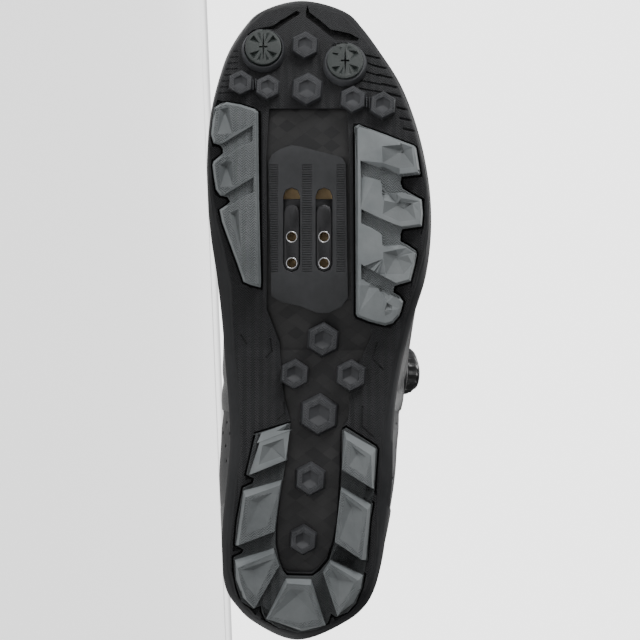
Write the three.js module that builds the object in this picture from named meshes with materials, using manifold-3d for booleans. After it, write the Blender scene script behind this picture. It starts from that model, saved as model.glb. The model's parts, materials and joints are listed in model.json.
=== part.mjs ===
// A left off-road cycling shoe with a two-bolt sole, lying on its inner side with the dial up.
// The shoe is worked out standing: x from the heel tip to the toe tip, y towards the outer (lateral)
// side, z up from the tread. At the end the whole shoe is laid down on what it really rests on.

import * as THREE from "three";
import { mergeVertices } from "three/addons/utils/BufferGeometryUtils.js";
import { ConvexHull } from "three/addons/math/ConvexHull.js";
import Module from "manifold-3d";

const wasm = await Module();
wasm.setup();

// Driving dimensions, in millimetres.
const LENGTH = 280; // heel tip to toe tip of the sole
const BALL_WIDTH = 96.8; // widest part of the sole
const ANKLE_HEIGHT = 118; // closed last over the ankle, above the tread sheet
const INSTEP_HEIGHT = 80; // last at half length
const TOE_HEIGHT = 38; // last over the toes
const WAIST_HEIGHT = 36; // where the upper is widest, beside the heel
const HEEL_BACK_HEIGHT = 84; // collar at the back of the heel, above the tread
const COLLAR_DIP_HEIGHT = 66; // collar under the ankle bone
const THROAT_TOP_HEIGHT = 101; // collar at the top of the throat
const TOE_SPRING = 21; // rise of the sole at the toe tip
const ARCH_LIFT = 6; // rise of the sole under the arch
const LUG_DEPTH = 6.5; // tread pads below the outsole's face
const OUTSOLE = 3; // rubber floor
const PLATE = 3.5; // nylon plate
const INSOLE = 3; // footbed and board
const UPPER_WALL = 2.2; // laminated upper
const SIDEWALL = 3; // rubber outside the feather line
const RIM_HEIGHT = 15; // rubber side at the toe
const RIM_WIDEST = 0.5; // share of the rubber side's height where it is widest
const EDGE = 0.8; // rounding along the sole's edges
const FIT = 0.3; // clearance between neighbours
const PAD_SEAT = 1.5; // depth of the seats for the tread pads
const PAD_GROOVE = 0.9; // open groove round a tread pad
const LUG_BEVEL = 1.2; // slope of a lug's side, seen from below
const PIT_DEPTH = 1.4; // hollow in a lug's face
const PIT_SHARE = 0.7; // of the face that the hollow takes
const NOTCH_DEPTH = 7; // rubber that reaches in between two lugs
const HEX_HEIGHT = 4.6; // hex lugs below what carries them
const STUD_RADIUS = 8.2; // toe plug at its seat
const STUD_HEIGHT = 6;
const STUD_COLLAR = 1.4; // ring round a toe plug
const RIB_GROOVE = 1.0; // grooves between the toe ribs
const TOE_CUT_DEPTH = 1.6; // slit and step across the toe
const HEX_FLARE = 1.17; // foot of a hex lug against its face
const HEX_PIT = 0.6; // share of a hex lug's face that its hollow takes
const HEX_PIT_DEPTH = 2.1;
const CORNERS = 16; // of round toe pieces
const SLOT_WIDTH = 7.2; // cleat slots
const SLOT_SPACING = 14; // between the two bolt rows
const SLOT_LENGTH = 36.6;
const NUT_BOSS_LENGTH = 29;
const NUT_HOLE_RADIUS = 2.4;
const NUT_HOLE_SPACING = 11.4;
const NUT_FLANGE = 1.5;
const BED_THICKNESS = 2.4;
const TONGUE_WALL = 2.6;
const THROAT_WIDTH = 26;
const WIRE_RADIUS = 0.7;
const WIRE_CLIMB = 9; // below the last's top where the wire from the dial comes over its side
const DIAL_RADIUS = 11.2;
const DIAL_HEIGHT = 6;
const DIAL_TEETH = 18;
const GUIDE_LENGTH = 15;
const GUIDE_WIDTH = 8;

// Outlines seen from below. at is a share of LENGTH from the heel, the others are shares of BALL_WIDTH
// on the medial and the lateral side: the tread face, the rubber's widest line and the upper's.
const OUTLINES = [
  { at: 0.03, faceM: 0.186, faceL: 0.145, rimM: 0.236, rimL: 0.19, upperM: 0.222, upperL: 0.177 },
  { at: 0.053, faceM: 0.268, faceL: 0.231, rimM: 0.304, rimL: 0.268, upperM: 0.288, upperL: 0.252 },
  { at: 0.077, faceM: 0.315, faceL: 0.279, rimM: 0.349, rimL: 0.308, upperM: 0.333, upperL: 0.299 },
  { at: 0.124, faceM: 0.345, faceL: 0.32, rimM: 0.372, rimL: 0.345, upperM: 0.37, upperL: 0.345 },
  { at: 0.187, faceM: 0.331, faceL: 0.328, rimM: 0.365, rimL: 0.37, upperM: 0.385, upperL: 0.385 },
  { at: 0.249, faceM: 0.311, faceL: 0.345, rimM: 0.347, rimL: 0.39, upperM: 0.395, upperL: 0.413 },
  { at: 0.312, faceM: 0.295, faceL: 0.353, rimM: 0.333, rimL: 0.394, upperM: 0.385, upperL: 0.426 },
  { at: 0.375, faceM: 0.302, faceL: 0.379, rimM: 0.343, rimL: 0.408, upperM: 0.376, upperL: 0.444 },
  { at: 0.437, faceM: 0.322, faceL: 0.413, rimM: 0.358, rimL: 0.44, upperM: 0.371, upperL: 0.467 },
  { at: 0.5, faceM: 0.333, faceL: 0.454, rimM: 0.372, rimL: 0.485, upperM: 0.367, upperL: 0.492 },
  { at: 0.563, faceM: 0.34, faceL: 0.508, rimM: 0.392, rimL: 0.54, upperM: 0.376, upperL: 0.522 },
  { at: 0.625, faceM: 0.385, faceL: 0.549, rimM: 0.419, rimL: 0.564, upperM: 0.395, upperL: 0.54 },
  { at: 0.688, faceM: 0.42, faceL: 0.551, rimM: 0.435, rimL: 0.562, upperM: 0.41, upperL: 0.537 },
  { at: 0.751, faceM: 0.429, faceL: 0.522, rimM: 0.437, rimL: 0.535, upperM: 0.41, upperL: 0.508 },
  { at: 0.813, faceM: 0.415, faceL: 0.472, rimM: 0.424, rimL: 0.488, upperM: 0.397, upperL: 0.46 },
  { at: 0.868, faceM: 0.379, faceL: 0.406, rimM: 0.39, rimL: 0.424, upperM: 0.363, upperL: 0.395 },
  { at: 0.915, faceM: 0.331, faceL: 0.322, rimM: 0.345, rimL: 0.34, upperM: 0.317, upperL: 0.313 },
  { at: 0.955, faceM: 0.261, faceL: 0.236, rimM: 0.277, rimL: 0.259, upperM: 0.247, upperL: 0.227 },
  { at: 0.98, faceM: 0.19, faceL: 0.159, rimM: 0.209, rimL: 0.19, upperM: 0.177, upperL: 0.15 },
];
const TIPS = {
  face: { heel: 0.0125, toe: 0.992 },
  rim: { heel: 0, toe: 1 },
  upper: { heel: 0.007, toe: 0.99 },
};
const HEEL_TIP_SIDE = -0.036;
const TOE_TIP_SIDE = -0.018;

// Rise of the sole: shares of TOE_SPRING and ARCH_LIFT. Straight between the rows.
const RISES = [
  { at: 0, spring: 0.13, arch: 0 },
  { at: 0.08, spring: 0.02, arch: 0 },
  { at: 0.15, spring: 0, arch: 0 },
  { at: 0.25, spring: 0, arch: 0.05 },
  { at: 0.35, spring: 0, arch: 0.65 },
  { at: 0.45, spring: 0, arch: 1 },
  { at: 0.5, spring: 0, arch: 0.55 },
  { at: 0.55, spring: 0, arch: 0 },
  { at: 0.75, spring: 0, arch: 0 },
  { at: 0.85, spring: 0.23, arch: 0 },
  { at: 0.92, spring: 0.52, arch: 0 },
  { at: 1, spring: 1, arch: 0 },
];

// Sections of the upper: the top is a mix of the three named heights, waist is a share of WAIST_HEIGHT,
// round is the power of the arch (2 is an ellipse).
const SECTIONS = [
  { at: 0.15, ankle: 1, instep: 0, toe: 0, waist: 0.92, round: 2 },
  { at: 0.25, ankle: 1, instep: 0, toe: 0, waist: 1, round: 2 },
  { at: 0.35, ankle: 0.72, instep: 0.28, toe: 0, waist: 0.95, round: 2 },
  { at: 0.43, ankle: 0.3, instep: 0.7, toe: 0, waist: 0.8, round: 2.05 },
  { at: 0.5, ankle: 0, instep: 1, toe: 0, waist: 0.65, round: 2.1 },
  { at: 0.57, ankle: 0, instep: 0.77, toe: 0.23, waist: 0.53, round: 2.15 },
  { at: 0.65, ankle: 0, instep: 0.53, toe: 0.47, waist: 0.46, round: 2.2 },
  { at: 0.73, ankle: 0, instep: 0.32, toe: 0.68, waist: 0.42, round: 2.25 },
  { at: 0.8, ankle: 0, instep: 0.13, toe: 0.87, waist: 0.4, round: 2.3 },
  { at: 0.85, ankle: 0, instep: 0, toe: 1, waist: 0.385, round: 2.3 },
];

// Height of the rubber side along the sole, a share of RIM_HEIGHT.
const RIM_TOPS = [
  { at: 0, top: 0.86 },
  { at: 0.08, top: 0.76 },
  { at: 0.14, top: 0.64 },
  { at: 0.2, top: 0.56 },
  { at: 0.45, top: 0.54 },
  { at: 0.6, top: 0.66 },
  { at: 0.75, top: 0.78 },
  { at: 0.88, top: 0.9 },
  { at: 1, top: 1 },
];

// Lugs of the tread pads, in order round the sole from the medial toe by the heel to the lateral toe.
// Each corner is [share of LENGTH, share of BALL_WIDTH]; outer runs along the sole's edge.
const LUGS = {
  medial: [
    {
      outer: [[0.829, -0.377], [0.801, -0.402], [0.772, -0.393]],
      inner: [[0.817, -0.216], [0.797, -0.223]],
    },
    {
      outer: [[0.74, -0.395], [0.693, -0.377]],
      inner: [[0.771, -0.223], [0.716, -0.223]],
    },
    {
      outer: [[0.665, -0.363], [0.63, -0.336], [0.566, -0.266], [0.554, -0.236]],
      inner: [[0.693, -0.223], [0.553, -0.213]],
    },
  ],
  heel: [
    {
      outer: [[0.309, -0.202], [0.26, -0.237]],
      inner: [[0.327, -0.065], [0.281, -0.084]],
    },
    {
      outer: [[0.224, -0.264], [0.15, -0.295]],
      inner: [[0.243, -0.108], [0.171, -0.134]],
    },
    {
      outer: [[0.116, -0.299], [0.093, -0.285], [0.067, -0.257], [0.053, -0.223]],
      inner: [[0.139, -0.136], [0.118, -0.115]],
    },
    {
      outer: [[0.037, -0.169], [0.022, -0.021], [0.027, 0.09]],
      inner: [[0.092, -0.077], [0.089, 0.027]],
    },
    {
      outer: [[0.041, 0.147], [0.061, 0.185], [0.079, 0.22], [0.097, 0.238]],
      inner: [[0.106, 0.085], [0.123, 0.116]],
    },
    {
      outer: [[0.128, 0.255], [0.205, 0.279]],
      inner: [[0.157, 0.135], [0.235, 0.161]],
    },
    {
      outer: [[0.238, 0.3], [0.288, 0.297]],
      inner: [[0.268, 0.166], [0.313, 0.185]],
    },
  ],
  lateral: [
    {
      outer: [[0.492, 0.376], [0.505, 0.409], [0.523, 0.427]],
      inner: [[0.508, 0.249], [0.558, 0.252]],
    },
    {
      outer: [[0.556, 0.459], [0.597, 0.486]],
      inner: [[0.582, 0.252], [0.645, 0.252]],
    },
    {
      outer: [[0.638, 0.504], [0.679, 0.513]],
      inner: [[0.667, 0.252], [0.719, 0.249]],
    },
    {
      outer: [[0.723, 0.502], [0.76, 0.484]],
      inner: [[0.741, 0.249], [0.794, 0.239]],
    },
  ],
};
// Inner edges of the pads, from the last lug back to the first, and how far a lug's pit reaches inwards.
const PADS = {
  medial: { inner: [[0.549, -0.2], [0.817, -0.204]], rib: 0.024, pit: 0.52 },
  heel: {
    inner: [
      [0.318, 0.168], [0.268, 0.162], [0.237, 0.157], [0.187, 0.147], [0.157, 0.131], [0.127, 0.106],
      [0.11, 0.066], [0.1, 0.034], [0.101, -0.08], [0.109, -0.098], [0.127, -0.117], [0.1505, -0.131],
      [0.187, -0.129], [0.26, -0.098], [0.279, -0.088], [0.33, -0.066],
    ],
    rib: 0,
    pit: 0.88,
  },
  lateral: { inner: [[0.797, 0.227], [0.506, 0.229]], rib: 0.024, pit: 0.52 },
};

// Window in the outsole through which the plate shows, from the medial front corner round by the heel.
const WINDOW = [
  [0.824, -0.159], [0.751, -0.171], [0.625, -0.168], [0.513, -0.17], [0.461, -0.113], [0.429, -0.107],
  [0.4, -0.1], [0.375, -0.091], [0.34, -0.063], [0.279, -0.081], [0.26, -0.09], [0.187, -0.121],
  [0.15, -0.123], [0.127, -0.109], [0.112, -0.092], [0.108, -0.076], [0.107, 0.031], [0.115, 0.062],
  [0.13, 0.098], [0.158, 0.123], [0.187, 0.139], [0.237, 0.149], [0.268, 0.154], [0.326, 0.16],
  [0.343, 0.193], [0.379, 0.202], [0.431, 0.245], [0.473, 0.3], [0.488, 0.29], [0.499, 0.215],
  [0.531, 0.208], [0.625, 0.204], [0.743, 0.2], [0.824, 0.188],
];
const CLEAT_BED = [
  [0.741, -0.163], [0.752, -0.148], [0.761, -0.11], [0.767, -0.06], [0.765, -0.02], [0.757, 0.068],
  [0.748, 0.165], [0.739, 0.184], [0.625, 0.189], [0.531, 0.194], [0.517, 0.165], [0.508, 0.11],
  [0.507, 0.06], [0.518, -0.02], [0.525, -0.11], [0.534, -0.15],
];

// Hex lugs: place and radius, as shares. Those on the frame are part of it; the others sit on the plate.
const FRAME_HEXES = [
  { at: 0.924, side: 0.001, radius: 0.06 },
  { at: 0.864, side: -0.288, radius: 0.055 },
  { at: 0.857, side: -0.166, radius: 0.055 },
  { at: 0.854, side: 0.011, radius: 0.07 },
  { at: 0.838, side: 0.215, radius: 0.059 },
  { at: 0.829, side: 0.349, radius: 0.059 },
  { at: 0.413, side: -0.045, radius: 0.064 },
  { at: 0.411, side: 0.206, radius: 0.068 },
];
const PLATE_HEXES = [
  { name: "hex_lug_arch_front", at: 0.466, side: 0.082, radius: 0.07 },
  { name: "hex_lug_arch_rear", at: 0.35, side: 0.064, radius: 0.084 },
  { name: "hex_lug_heel_front", at: 0.251, side: 0.025, radius: 0.068 },
  { name: "hex_lug_heel_rear", at: 0.157, side: -0.007, radius: 0.061 },
];
const HEX_TURN = 0.06;
const STUDS = [
  { name: "toe_stud_medial", at: 0.915, side: -0.186 },
  { name: "toe_stud_lateral", at: 0.893, side: 0.181 },
];
// Grooves between the ribs beside the lateral toe stud and beside the pad.
const RIB_ROWS = [
  { from: 0.908, to: 0.848, count: 5, inner: 0.28, outer: 0.385 },
  { from: 0.826, to: 0.793, count: 3, inner: 0.41, outer: 0.48 },
];
const RIB_SLANT = -0.24;
// Curved slit and step across the toe.
const TOE_CUTS = [
  [
    [0.942, -0.26], [0.951, -0.226], [0.956, -0.148], [0.964, -0.109], [0.981, -0.04],
    [0.978, -0.02], [0.957, -0.113], [0.948, -0.15], [0.943, -0.226],
  ],
  [
    [0.978, 0.012], [0.962, 0.068], [0.95, 0.109], [0.947, 0.159], [0.943, 0.204], [0.935, 0.245],
    [0.932, 0.213], [0.931, 0.159], [0.936, 0.095], [0.944, 0.06], [0.958, 0.025],
  ],
];

// Places along the upper.
const THROAT_END = 0.69;
const THROAT_TOP = 0.4;
const COLLAR_DIP = 0.3;
const DIAL = { at: 0.415, height: 59 };
const GUIDES = [
  { name: "lace_guide_medial_top", at: 0.47, side: -1 },
  { name: "lace_guide_lateral_middle", at: 0.52, side: 1 },
  { name: "lace_guide_medial_middle", at: 0.57, side: -1 },
  { name: "lace_guide_lateral_low", at: 0.62, side: 1 },
  { name: "lace_guide_medial_low", at: 0.655, side: -1 },
];

// Heights of the layers above the tread sheet, which runs along the outsole's face.
const plateBottom = OUTSOLE + FIT;
const plateTop = plateBottom + PLATE;
const feather = plateTop + FIT;
const insoleTop = feather + INSOLE;

// Reads a table smoothly at a share of the length.
function along(table, at, column) {
  const last = table.length - 1;
  if (at <= table[0].at) return table[0][column];
  if (at >= table[last].at) return table[last][column];
  const i = table.findIndex((row, k) => k > 0 && at <= row.at) - 1;
  const slope = (k) => {
    const a = table[Math.max(k - 1, 0)];
    const b = table[Math.min(k + 1, last)];
    return (b[column] - a[column]) / (b.at - a.at);
  };
  const [a, b] = [table[i], table[i + 1]];
  const step = b.at - a.at;
  const t = (at - a.at) / step;
  return (
    (1 + 2 * t) * (1 - t) ** 2 * a[column] +
    t * (1 - t) ** 2 * step * slope(i) +
    t * t * (3 - 2 * t) * b[column] +
    t * t * (t - 1) * step * slope(i + 1)
  );
}

// Height of the tread sheet above the ground, straight between the rows.
function rise(x) {
  const at = THREE.MathUtils.clamp(x / LENGTH, 0, 1);
  const i = Math.max(RISES.findIndex((row, k) => k > 0 && at <= row.at), 1);
  const [a, b] = [RISES[i - 1], RISES[i]];
  const t = (at - a.at) / (b.at - a.at);
  const spring = THREE.MathUtils.lerp(a.spring, b.spring, t);
  const arch = THREE.MathUtils.lerp(a.arch, b.arch, t);
  return LUG_DEPTH + TOE_SPRING * spring + ARCH_LIFT * arch;
}

const place = ([at, side]) => new THREE.Vector2(at * LENGTH, side * BALL_WIDTH);
const places = (corners) => corners.map(place);

// A closed geometry as a solid, and a solid as a geometry.
function solid(geometry) {
  geometry.deleteAttribute("normal");
  geometry.deleteAttribute("uv");
  const merged = mergeVertices(geometry, 1e-4);
  const source = merged.index.array;
  const triVerts = [];
  for (let i = 0; i < source.length; i += 3) {
    const [a, b, c] = [source[i], source[i + 1], source[i + 2]];
    if (a !== b && b !== c && a !== c) triVerts.push(a, b, c);
  }
  return new wasm.Manifold(
    new wasm.Mesh({
      numProp: 3,
      vertProperties: new Float32Array(merged.attributes.position.array),
      triVerts: new Uint32Array(triVerts),
    }),
  );
}

function geometryOf(made) {
  const mesh = made.getMesh();
  const positions = new Float32Array(mesh.numVert * 3);
  for (let i = 0; i < mesh.numVert; i++) {
    const start = i * mesh.numProp;
    positions.set(mesh.vertProperties.subarray(start, start + 3), i * 3);
  }
  return new THREE.BufferGeometry()
    .setAttribute("position", new THREE.BufferAttribute(positions, 3))
    .setIndex(new THREE.BufferAttribute(mesh.triVerts, 1));
}

// Triangles across a ring of the shoe's columns, rung by rung from the toe to the heel.
function ladder() {
  const count = columns.length;
  const toe = TOE_FAN / 2 - 1;
  const faces = [];
  for (let k = 0; k < count / 2; k++) {
    const [a, b] = [(toe + k) % count, (toe + k + 1) % count];
    const [c, d] = [(toe - k + count) % count, (toe - k - 1 + count) % count];
    if (a !== c) faces.push([a, b, c]);
    if (b !== d) faces.push([b, d, c]);
  }
  return faces;
}

// A closed geometry through rings of equally many points, the lowest first, turning left seen from above.
function skin(rings) {
  const count = rings[0].length;
  const points = rings.flat();
  const faces = [];
  for (let r = 0; r + 1 < rings.length; r++) {
    for (let i = 0; i < count; i++) {
      const a = r * count + i;
      const b = r * count + ((i + 1) % count);
      faces.push(a, b, b + count, a, b + count, a + count);
    }
  }
  const cap = (ring, offset, flip) => {
    const plan = ring.map((p) => new THREE.Vector2(p.x, p.y));
    const whole = count === columns.length;
    for (const [a, b, c] of whole ? ladder() : THREE.ShapeUtils.triangulateShape(plan, [])) {
      if (flip) faces.push(offset + a, offset + c, offset + b);
      else faces.push(offset + a, offset + b, offset + c);
    }
  };
  cap(rings[0], 0, true);
  const top = rings[rings.length - 1];
  const open = Math.abs(THREE.ShapeUtils.area(top)) > 1e-3;
  if (open) cap(top, (rings.length - 1) * count, false);
  return new THREE.BufferGeometry().setFromPoints(points).setIndex(faces);
}

const lift = (points, height) => points.map((p) => new THREE.Vector3(p.x, p.y, height));

// An upright prism, and a form between two outlines with equally many corners.
function frustum(lowOutline, low, highOutline, high) {
  const turned = THREE.ShapeUtils.area(lowOutline) < 0;
  const rings = [lift(lowOutline, low), lift(highOutline, high)];
  return solid(skin(turned ? rings.map((ring) => ring.reverse()) : rings));
}
const prism = (outline, low, high) => frustum(outline, low, outline, high);

// Moves every edge of an outline outwards by a distance, with its corners in the same order.
function grow(outline, distance) {
  const turn = Math.sign(THREE.ShapeUtils.area(outline));
  return outline.map((p, i) => {
    const before = outline[(i + outline.length - 1) % outline.length];
    const after = outline[(i + 1) % outline.length];
    const e1 = p.clone().sub(before).normalize();
    const e2 = after.clone().sub(p).normalize();
    const n = new THREE.Vector2(e1.y + e2.y, -e1.x - e2.x).multiplyScalar(turn).normalize();
    const stretch = Math.max((n.x * e1.y - n.y * e1.x) * turn, 0.5);
    return p.clone().addScaledVector(n, distance / stretch);
  });
}

const hexagon = (centre, radius, turn = HEX_TURN) => roundOutline(centre, radius, 6, turn);
function roundOutline(centre, radius, corners, turn = 0) {
  return Array.from({ length: corners }, (_, i) => {
    const angle = turn + (i * 2 * Math.PI) / corners;
    return new THREE.Vector2(
      centre.x + radius * Math.cos(angle),
      centre.y + radius * Math.sin(angle),
    );
  });
}

// A slot along x with round ends.
function slotOutline(x0, x1, y, width, steps = 4) {
  const r = width / 2;
  const ends = [
    { x: x1 - r, start: -Math.PI / 2 },
    { x: x0 + r, start: Math.PI / 2 },
  ];
  return ends.flatMap(({ x, start }) =>
    Array.from({ length: steps + 1 }, (_, i) => {
      const angle = start + (i * Math.PI) / steps;
      return new THREE.Vector2(x + r * Math.cos(angle), y + r * Math.sin(angle));
    }),
  );
}

// Cuts the triangles of a flat sole piece at the rows of RISES and lifts each point by the rise there.
function bend(made) {
  const mesh = made.getMesh();
  const points = [];
  for (let i = 0; i < mesh.numVert; i++) {
    points.push([...mesh.vertProperties.subarray(i * mesh.numProp, i * mesh.numProp + 3)]);
  }
  let faces = [];
  for (let i = 0; i < mesh.triVerts.length; i += 3) {
    faces.push([...mesh.triVerts.subarray(i, i + 3)]);
  }
  for (const row of RISES.slice(1, -1)) {
    const x = row.at * LENGTH;
    for (const p of points) if (Math.abs(p[0] - x) < 1e-3) p[0] = x;
    const cuts = new Map();
    const cut = (a, b) => {
      const [low, high] = a < b ? [a, b] : [b, a];
      const key = low * 1e6 + high;
      if (!cuts.has(key)) {
        const [p, q] = [points[low], points[high]];
        const t = (x - p[0]) / (q[0] - p[0]);
        cuts.set(key, points.length);
        points.push([x, p[1] + (q[1] - p[1]) * t, p[2] + (q[2] - p[2]) * t]);
      }
      return cuts.get(key);
    };
    const next = [];
    for (const face of faces) {
      const sides = face.map((i) => Math.sign(points[i][0] - x));
      if (!(sides.includes(1) && sides.includes(-1))) {
        next.push(face);
        continue;
      }
      const low = [];
      const high = [];
      for (let k = 0; k < 3; k++) {
        const [a, b] = [face[k], face[(k + 1) % 3]];
        const [sa, sb] = [sides[k], sides[(k + 1) % 3]];
        if (sa <= 0) low.push(a);
        if (sa >= 0) high.push(a);
        if (sa * sb < 0) {
          const middle = cut(a, b);
          low.push(middle);
          high.push(middle);
        }
      }
      for (const part of [low, high]) {
        for (let k = 1; k + 1 < part.length; k++) next.push([part[0], part[k], part[k + 1]]);
      }
    }
    faces = next;
  }
  for (const p of points) p[2] += rise(p[0]);
  const geometry = new THREE.BufferGeometry()
    .setFromPoints(points.map((p) => new THREE.Vector3(...p)))
    .setIndex(faces.flat());
  return solid(geometry);
}

// Columns round the shoe: a foot on the middle line and a direction. Stations along the middle part,
// fans round a pivot at the toe and the heel.
const HEEL_PIVOT = SECTIONS[0].at;
const TOE_PIVOT = SECTIONS[SECTIONS.length - 1].at;
const STATION_STEP = 0.05;
const TOE_FAN = 14;
const HEEL_FAN = 10;
const stations = Math.round((TOE_PIVOT - HEEL_PIVOT) / STATION_STEP);
const columns = [];
const addColumn = (at, angle) =>
  columns.push({ x: at * LENGTH, dir: new THREE.Vector2(Math.cos(angle), Math.sin(angle)) });
for (let i = 1; i < TOE_FAN; i++) addColumn(TOE_PIVOT, -Math.PI / 2 + (i * Math.PI) / TOE_FAN);
for (let i = 0; i <= stations; i++) addColumn(TOE_PIVOT - i * STATION_STEP, Math.PI / 2);
for (let i = 1; i < HEEL_FAN; i++) addColumn(HEEL_PIVOT, Math.PI / 2 + (i * Math.PI) / HEEL_FAN);
for (let i = 0; i <= stations; i++) addColumn(HEEL_PIVOT + i * STATION_STEP, -Math.PI / 2);

// A smooth closed outline through a pair of columns of OUTLINES and its two tips.
function smoothOutline(kind) {
  const row = (r, side) =>
    new THREE.Vector3(r.at * LENGTH, r[kind + (side < 0 ? "M" : "L")] * side * BALL_WIDTH, 0);
  const tip = (at, side) => new THREE.Vector3(at * LENGTH, side * BALL_WIDTH, 0);
  const points = [
    tip(TIPS[kind].heel, HEEL_TIP_SIDE),
    ...OUTLINES.map((r) => row(r, -1)),
    tip(TIPS[kind].toe, TOE_TIP_SIDE),
    ...[...OUTLINES].reverse().map((r) => row(r, 1)),
  ];
  return new THREE.CatmullRomCurve3(points, true, "centripetal").getPoints(points.length * 8);
}

// How far each column reaches to an outline.
function reach(kind) {
  const outline = smoothOutline(kind);
  return columns.map(({ x, dir }) => {
    let far = 0;
    for (let i = 0; i + 1 < outline.length; i++) {
      const [p, q] = [outline[i], outline[i + 1]];
      const across = (v) => (v.x - x) * dir.y - v.y * dir.x;
      const [a, b] = [across(p), across(q)];
      if (a * b > 0 || a === b) continue;
      const t = a / (a - b);
      const hit = new THREE.Vector2(p.x + (q.x - p.x) * t - x, p.y + (q.y - p.y) * t);
      far = Math.max(far, hit.dot(dir));
    }
    return far;
  });
}
const faceReach = reach("face");
const rimReach = reach("rim");
const upperReach = reach("upper");
const featherReach = rimReach.map((r, i) => Math.min(r - SIDEWALL, faceReach[i]));

const plan = (reaches, inset = 0) =>
  columns.map(
    ({ x, dir }, i) =>
      new THREE.Vector2(x + dir.x * (reaches[i] - inset), dir.y * (reaches[i] - inset)),
  );

// The closed last of the upper, with the sole's rise in it. Rings run up from the feather line to the
// widest line and on to the ridge along the middle.
const TUCK_RINGS = 3;
const ARCH_RINGS = 7;
function topHeight(at) {
  const mix = (column) => along(SECTIONS, at, column);
  return ANKLE_HEIGHT * mix("ankle") + INSTEP_HEIGHT * mix("instep") + TOE_HEIGHT * mix("toe");
}
const waistHeight = (at) => WAIST_HEIGHT * along(SECTIONS, at, "waist");

function lastRings() {
  const rings = [];
  // The toe spring fades towards the ridge, so that the toe box slopes down to the tip.
  const ring = (radiusOf, heightOf, fade) =>
    rings.push(
      columns.map(({ x, dir }, i) => {
        const r = radiusOf(i, x / LENGTH);
        const lifted = rise(x + dir.x * r * (1 - fade));
        return new THREE.Vector3(x + dir.x * r, dir.y * r, heightOf(x / LENGTH) + lifted);
      }),
    );
  for (let k = 0; k <= TUCK_RINGS; k++) {
    const t = k / TUCK_RINGS;
    ring(
      (i) =>
        THREE.MathUtils.lerp(featherReach[i], upperReach[i], THREE.MathUtils.smoothstep(t, 0, 1)),
      (at) => feather + (waistHeight(at) - feather) * t,
      0,
    );
  }
  for (let k = 1; k <= ARCH_RINGS; k++) {
    const angle = (Math.PI / 2) * (1 - k / ARCH_RINGS);
    const power = (at) => 2 / along(SECTIONS, at, "round");
    ring(
      (i, at) => (k === ARCH_RINGS ? 0 : upperReach[i] * Math.sin(angle) ** power(at)),
      (at) =>
        waistHeight(at) + (topHeight(at) - waistHeight(at)) * Math.cos(angle) ** power(at),
      k / ARCH_RINGS,
    );
  }
  return rings;
}
const last = lastRings();

// Outward normal of the last at each ring point, from its neighbours on the surface.
function lastNormals() {
  const sums = new Map();
  const key = (p) => [p.x, p.y, p.z].map((v) => Math.round(v * 50)).join();
  const add = (a, b, c) => {
    const normal = b.clone().sub(a).cross(c.clone().sub(a));
    for (const p of [a, b, c]) {
      if (!sums.has(key(p))) sums.set(key(p), new THREE.Vector3());
      sums.get(key(p)).add(normal);
    }
  };
  for (let k = 0; k + 1 < last.length; k++) {
    last[k].forEach((a, i) => {
      const j = (i + 1) % columns.length;
      add(a, last[k][j], last[k + 1][j]);
      add(a, last[k + 1][j], last[k + 1][i]);
    });
  }
  return last.map((ring, k) =>
    ring.map((p, i) => {
      const normal = sums.get(key(p)).clone();
      if (k === 0) normal.set(columns[i].dir.x, columns[i].dir.y, 0);
      return normal.normalize();
    }),
  );
}
const normals = lastNormals();

// The last moved outwards by a distance, with a straight skirt below the feather line.
function lastSolid(distance, skirt = 0) {
  const rings = last.map((ring, k) =>
    ring.map((p, i) => p.clone().addScaledVector(normals[k][i], distance)),
  );
  if (skirt) rings.unshift(rings[0].map((p) => new THREE.Vector3(p.x, p.y, p.z - skirt)));
  return solid(skin(rings));
}

// A point of the last at a share of the length, at a side distance or at a height, and its normal.
function overLast(at, side) {
  const x = at * LENGTH;
  const column = columns.map((c, i) => [Math.abs(c.x - x), i]).filter(([, i]) => {
    const { dir } = columns[i];
    return Math.abs(dir.x) < 1e-6 && Math.sign(dir.y) === (side < 0 ? -1 : 1);
  });
  column.sort((a, b) => a[0] - b[0]);
  const [[d0, i0], [d1, i1]] = column;
  const reachHere = (upperReach[i0] * d1 + upperReach[i1] * d0) / (d0 + d1);
  const power = along(SECTIONS, at, "round");
  const low = waistHeight(at);
  const high = topHeight(at) - low;
  return { x, reachHere, power, low, high };
}
function onLast(at, y) {
  const { x, reachHere, power, low, high } = overLast(at, y);
  const share = Math.min(Math.abs(y) / reachHere, 1);
  return new THREE.Vector3(x, y, low + high * (1 - share ** power) ** (1 / power) + rise(x));
}
function sideOfLast(at, height, side) {
  const { x, reachHere, power, low, high } = overLast(at, side);
  const share = (height - low) / high;
  return new THREE.Vector3(
    x, side * reachHere * (1 - share ** power) ** (1 / power), height + rise(x),
  );
}
const PROBE = 0.012; // share of the length over which slopes are measured
function normalAt(at, height, side) {
  const p = sideOfLast(at, height, side);
  const ahead = sideOfLast(at + PROBE, height, side).sub(p);
  const above = sideOfLast(at, height + PROBE * LENGTH, side).sub(p);
  return above.cross(ahead).multiplyScalar(side).normalize();
}

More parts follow.
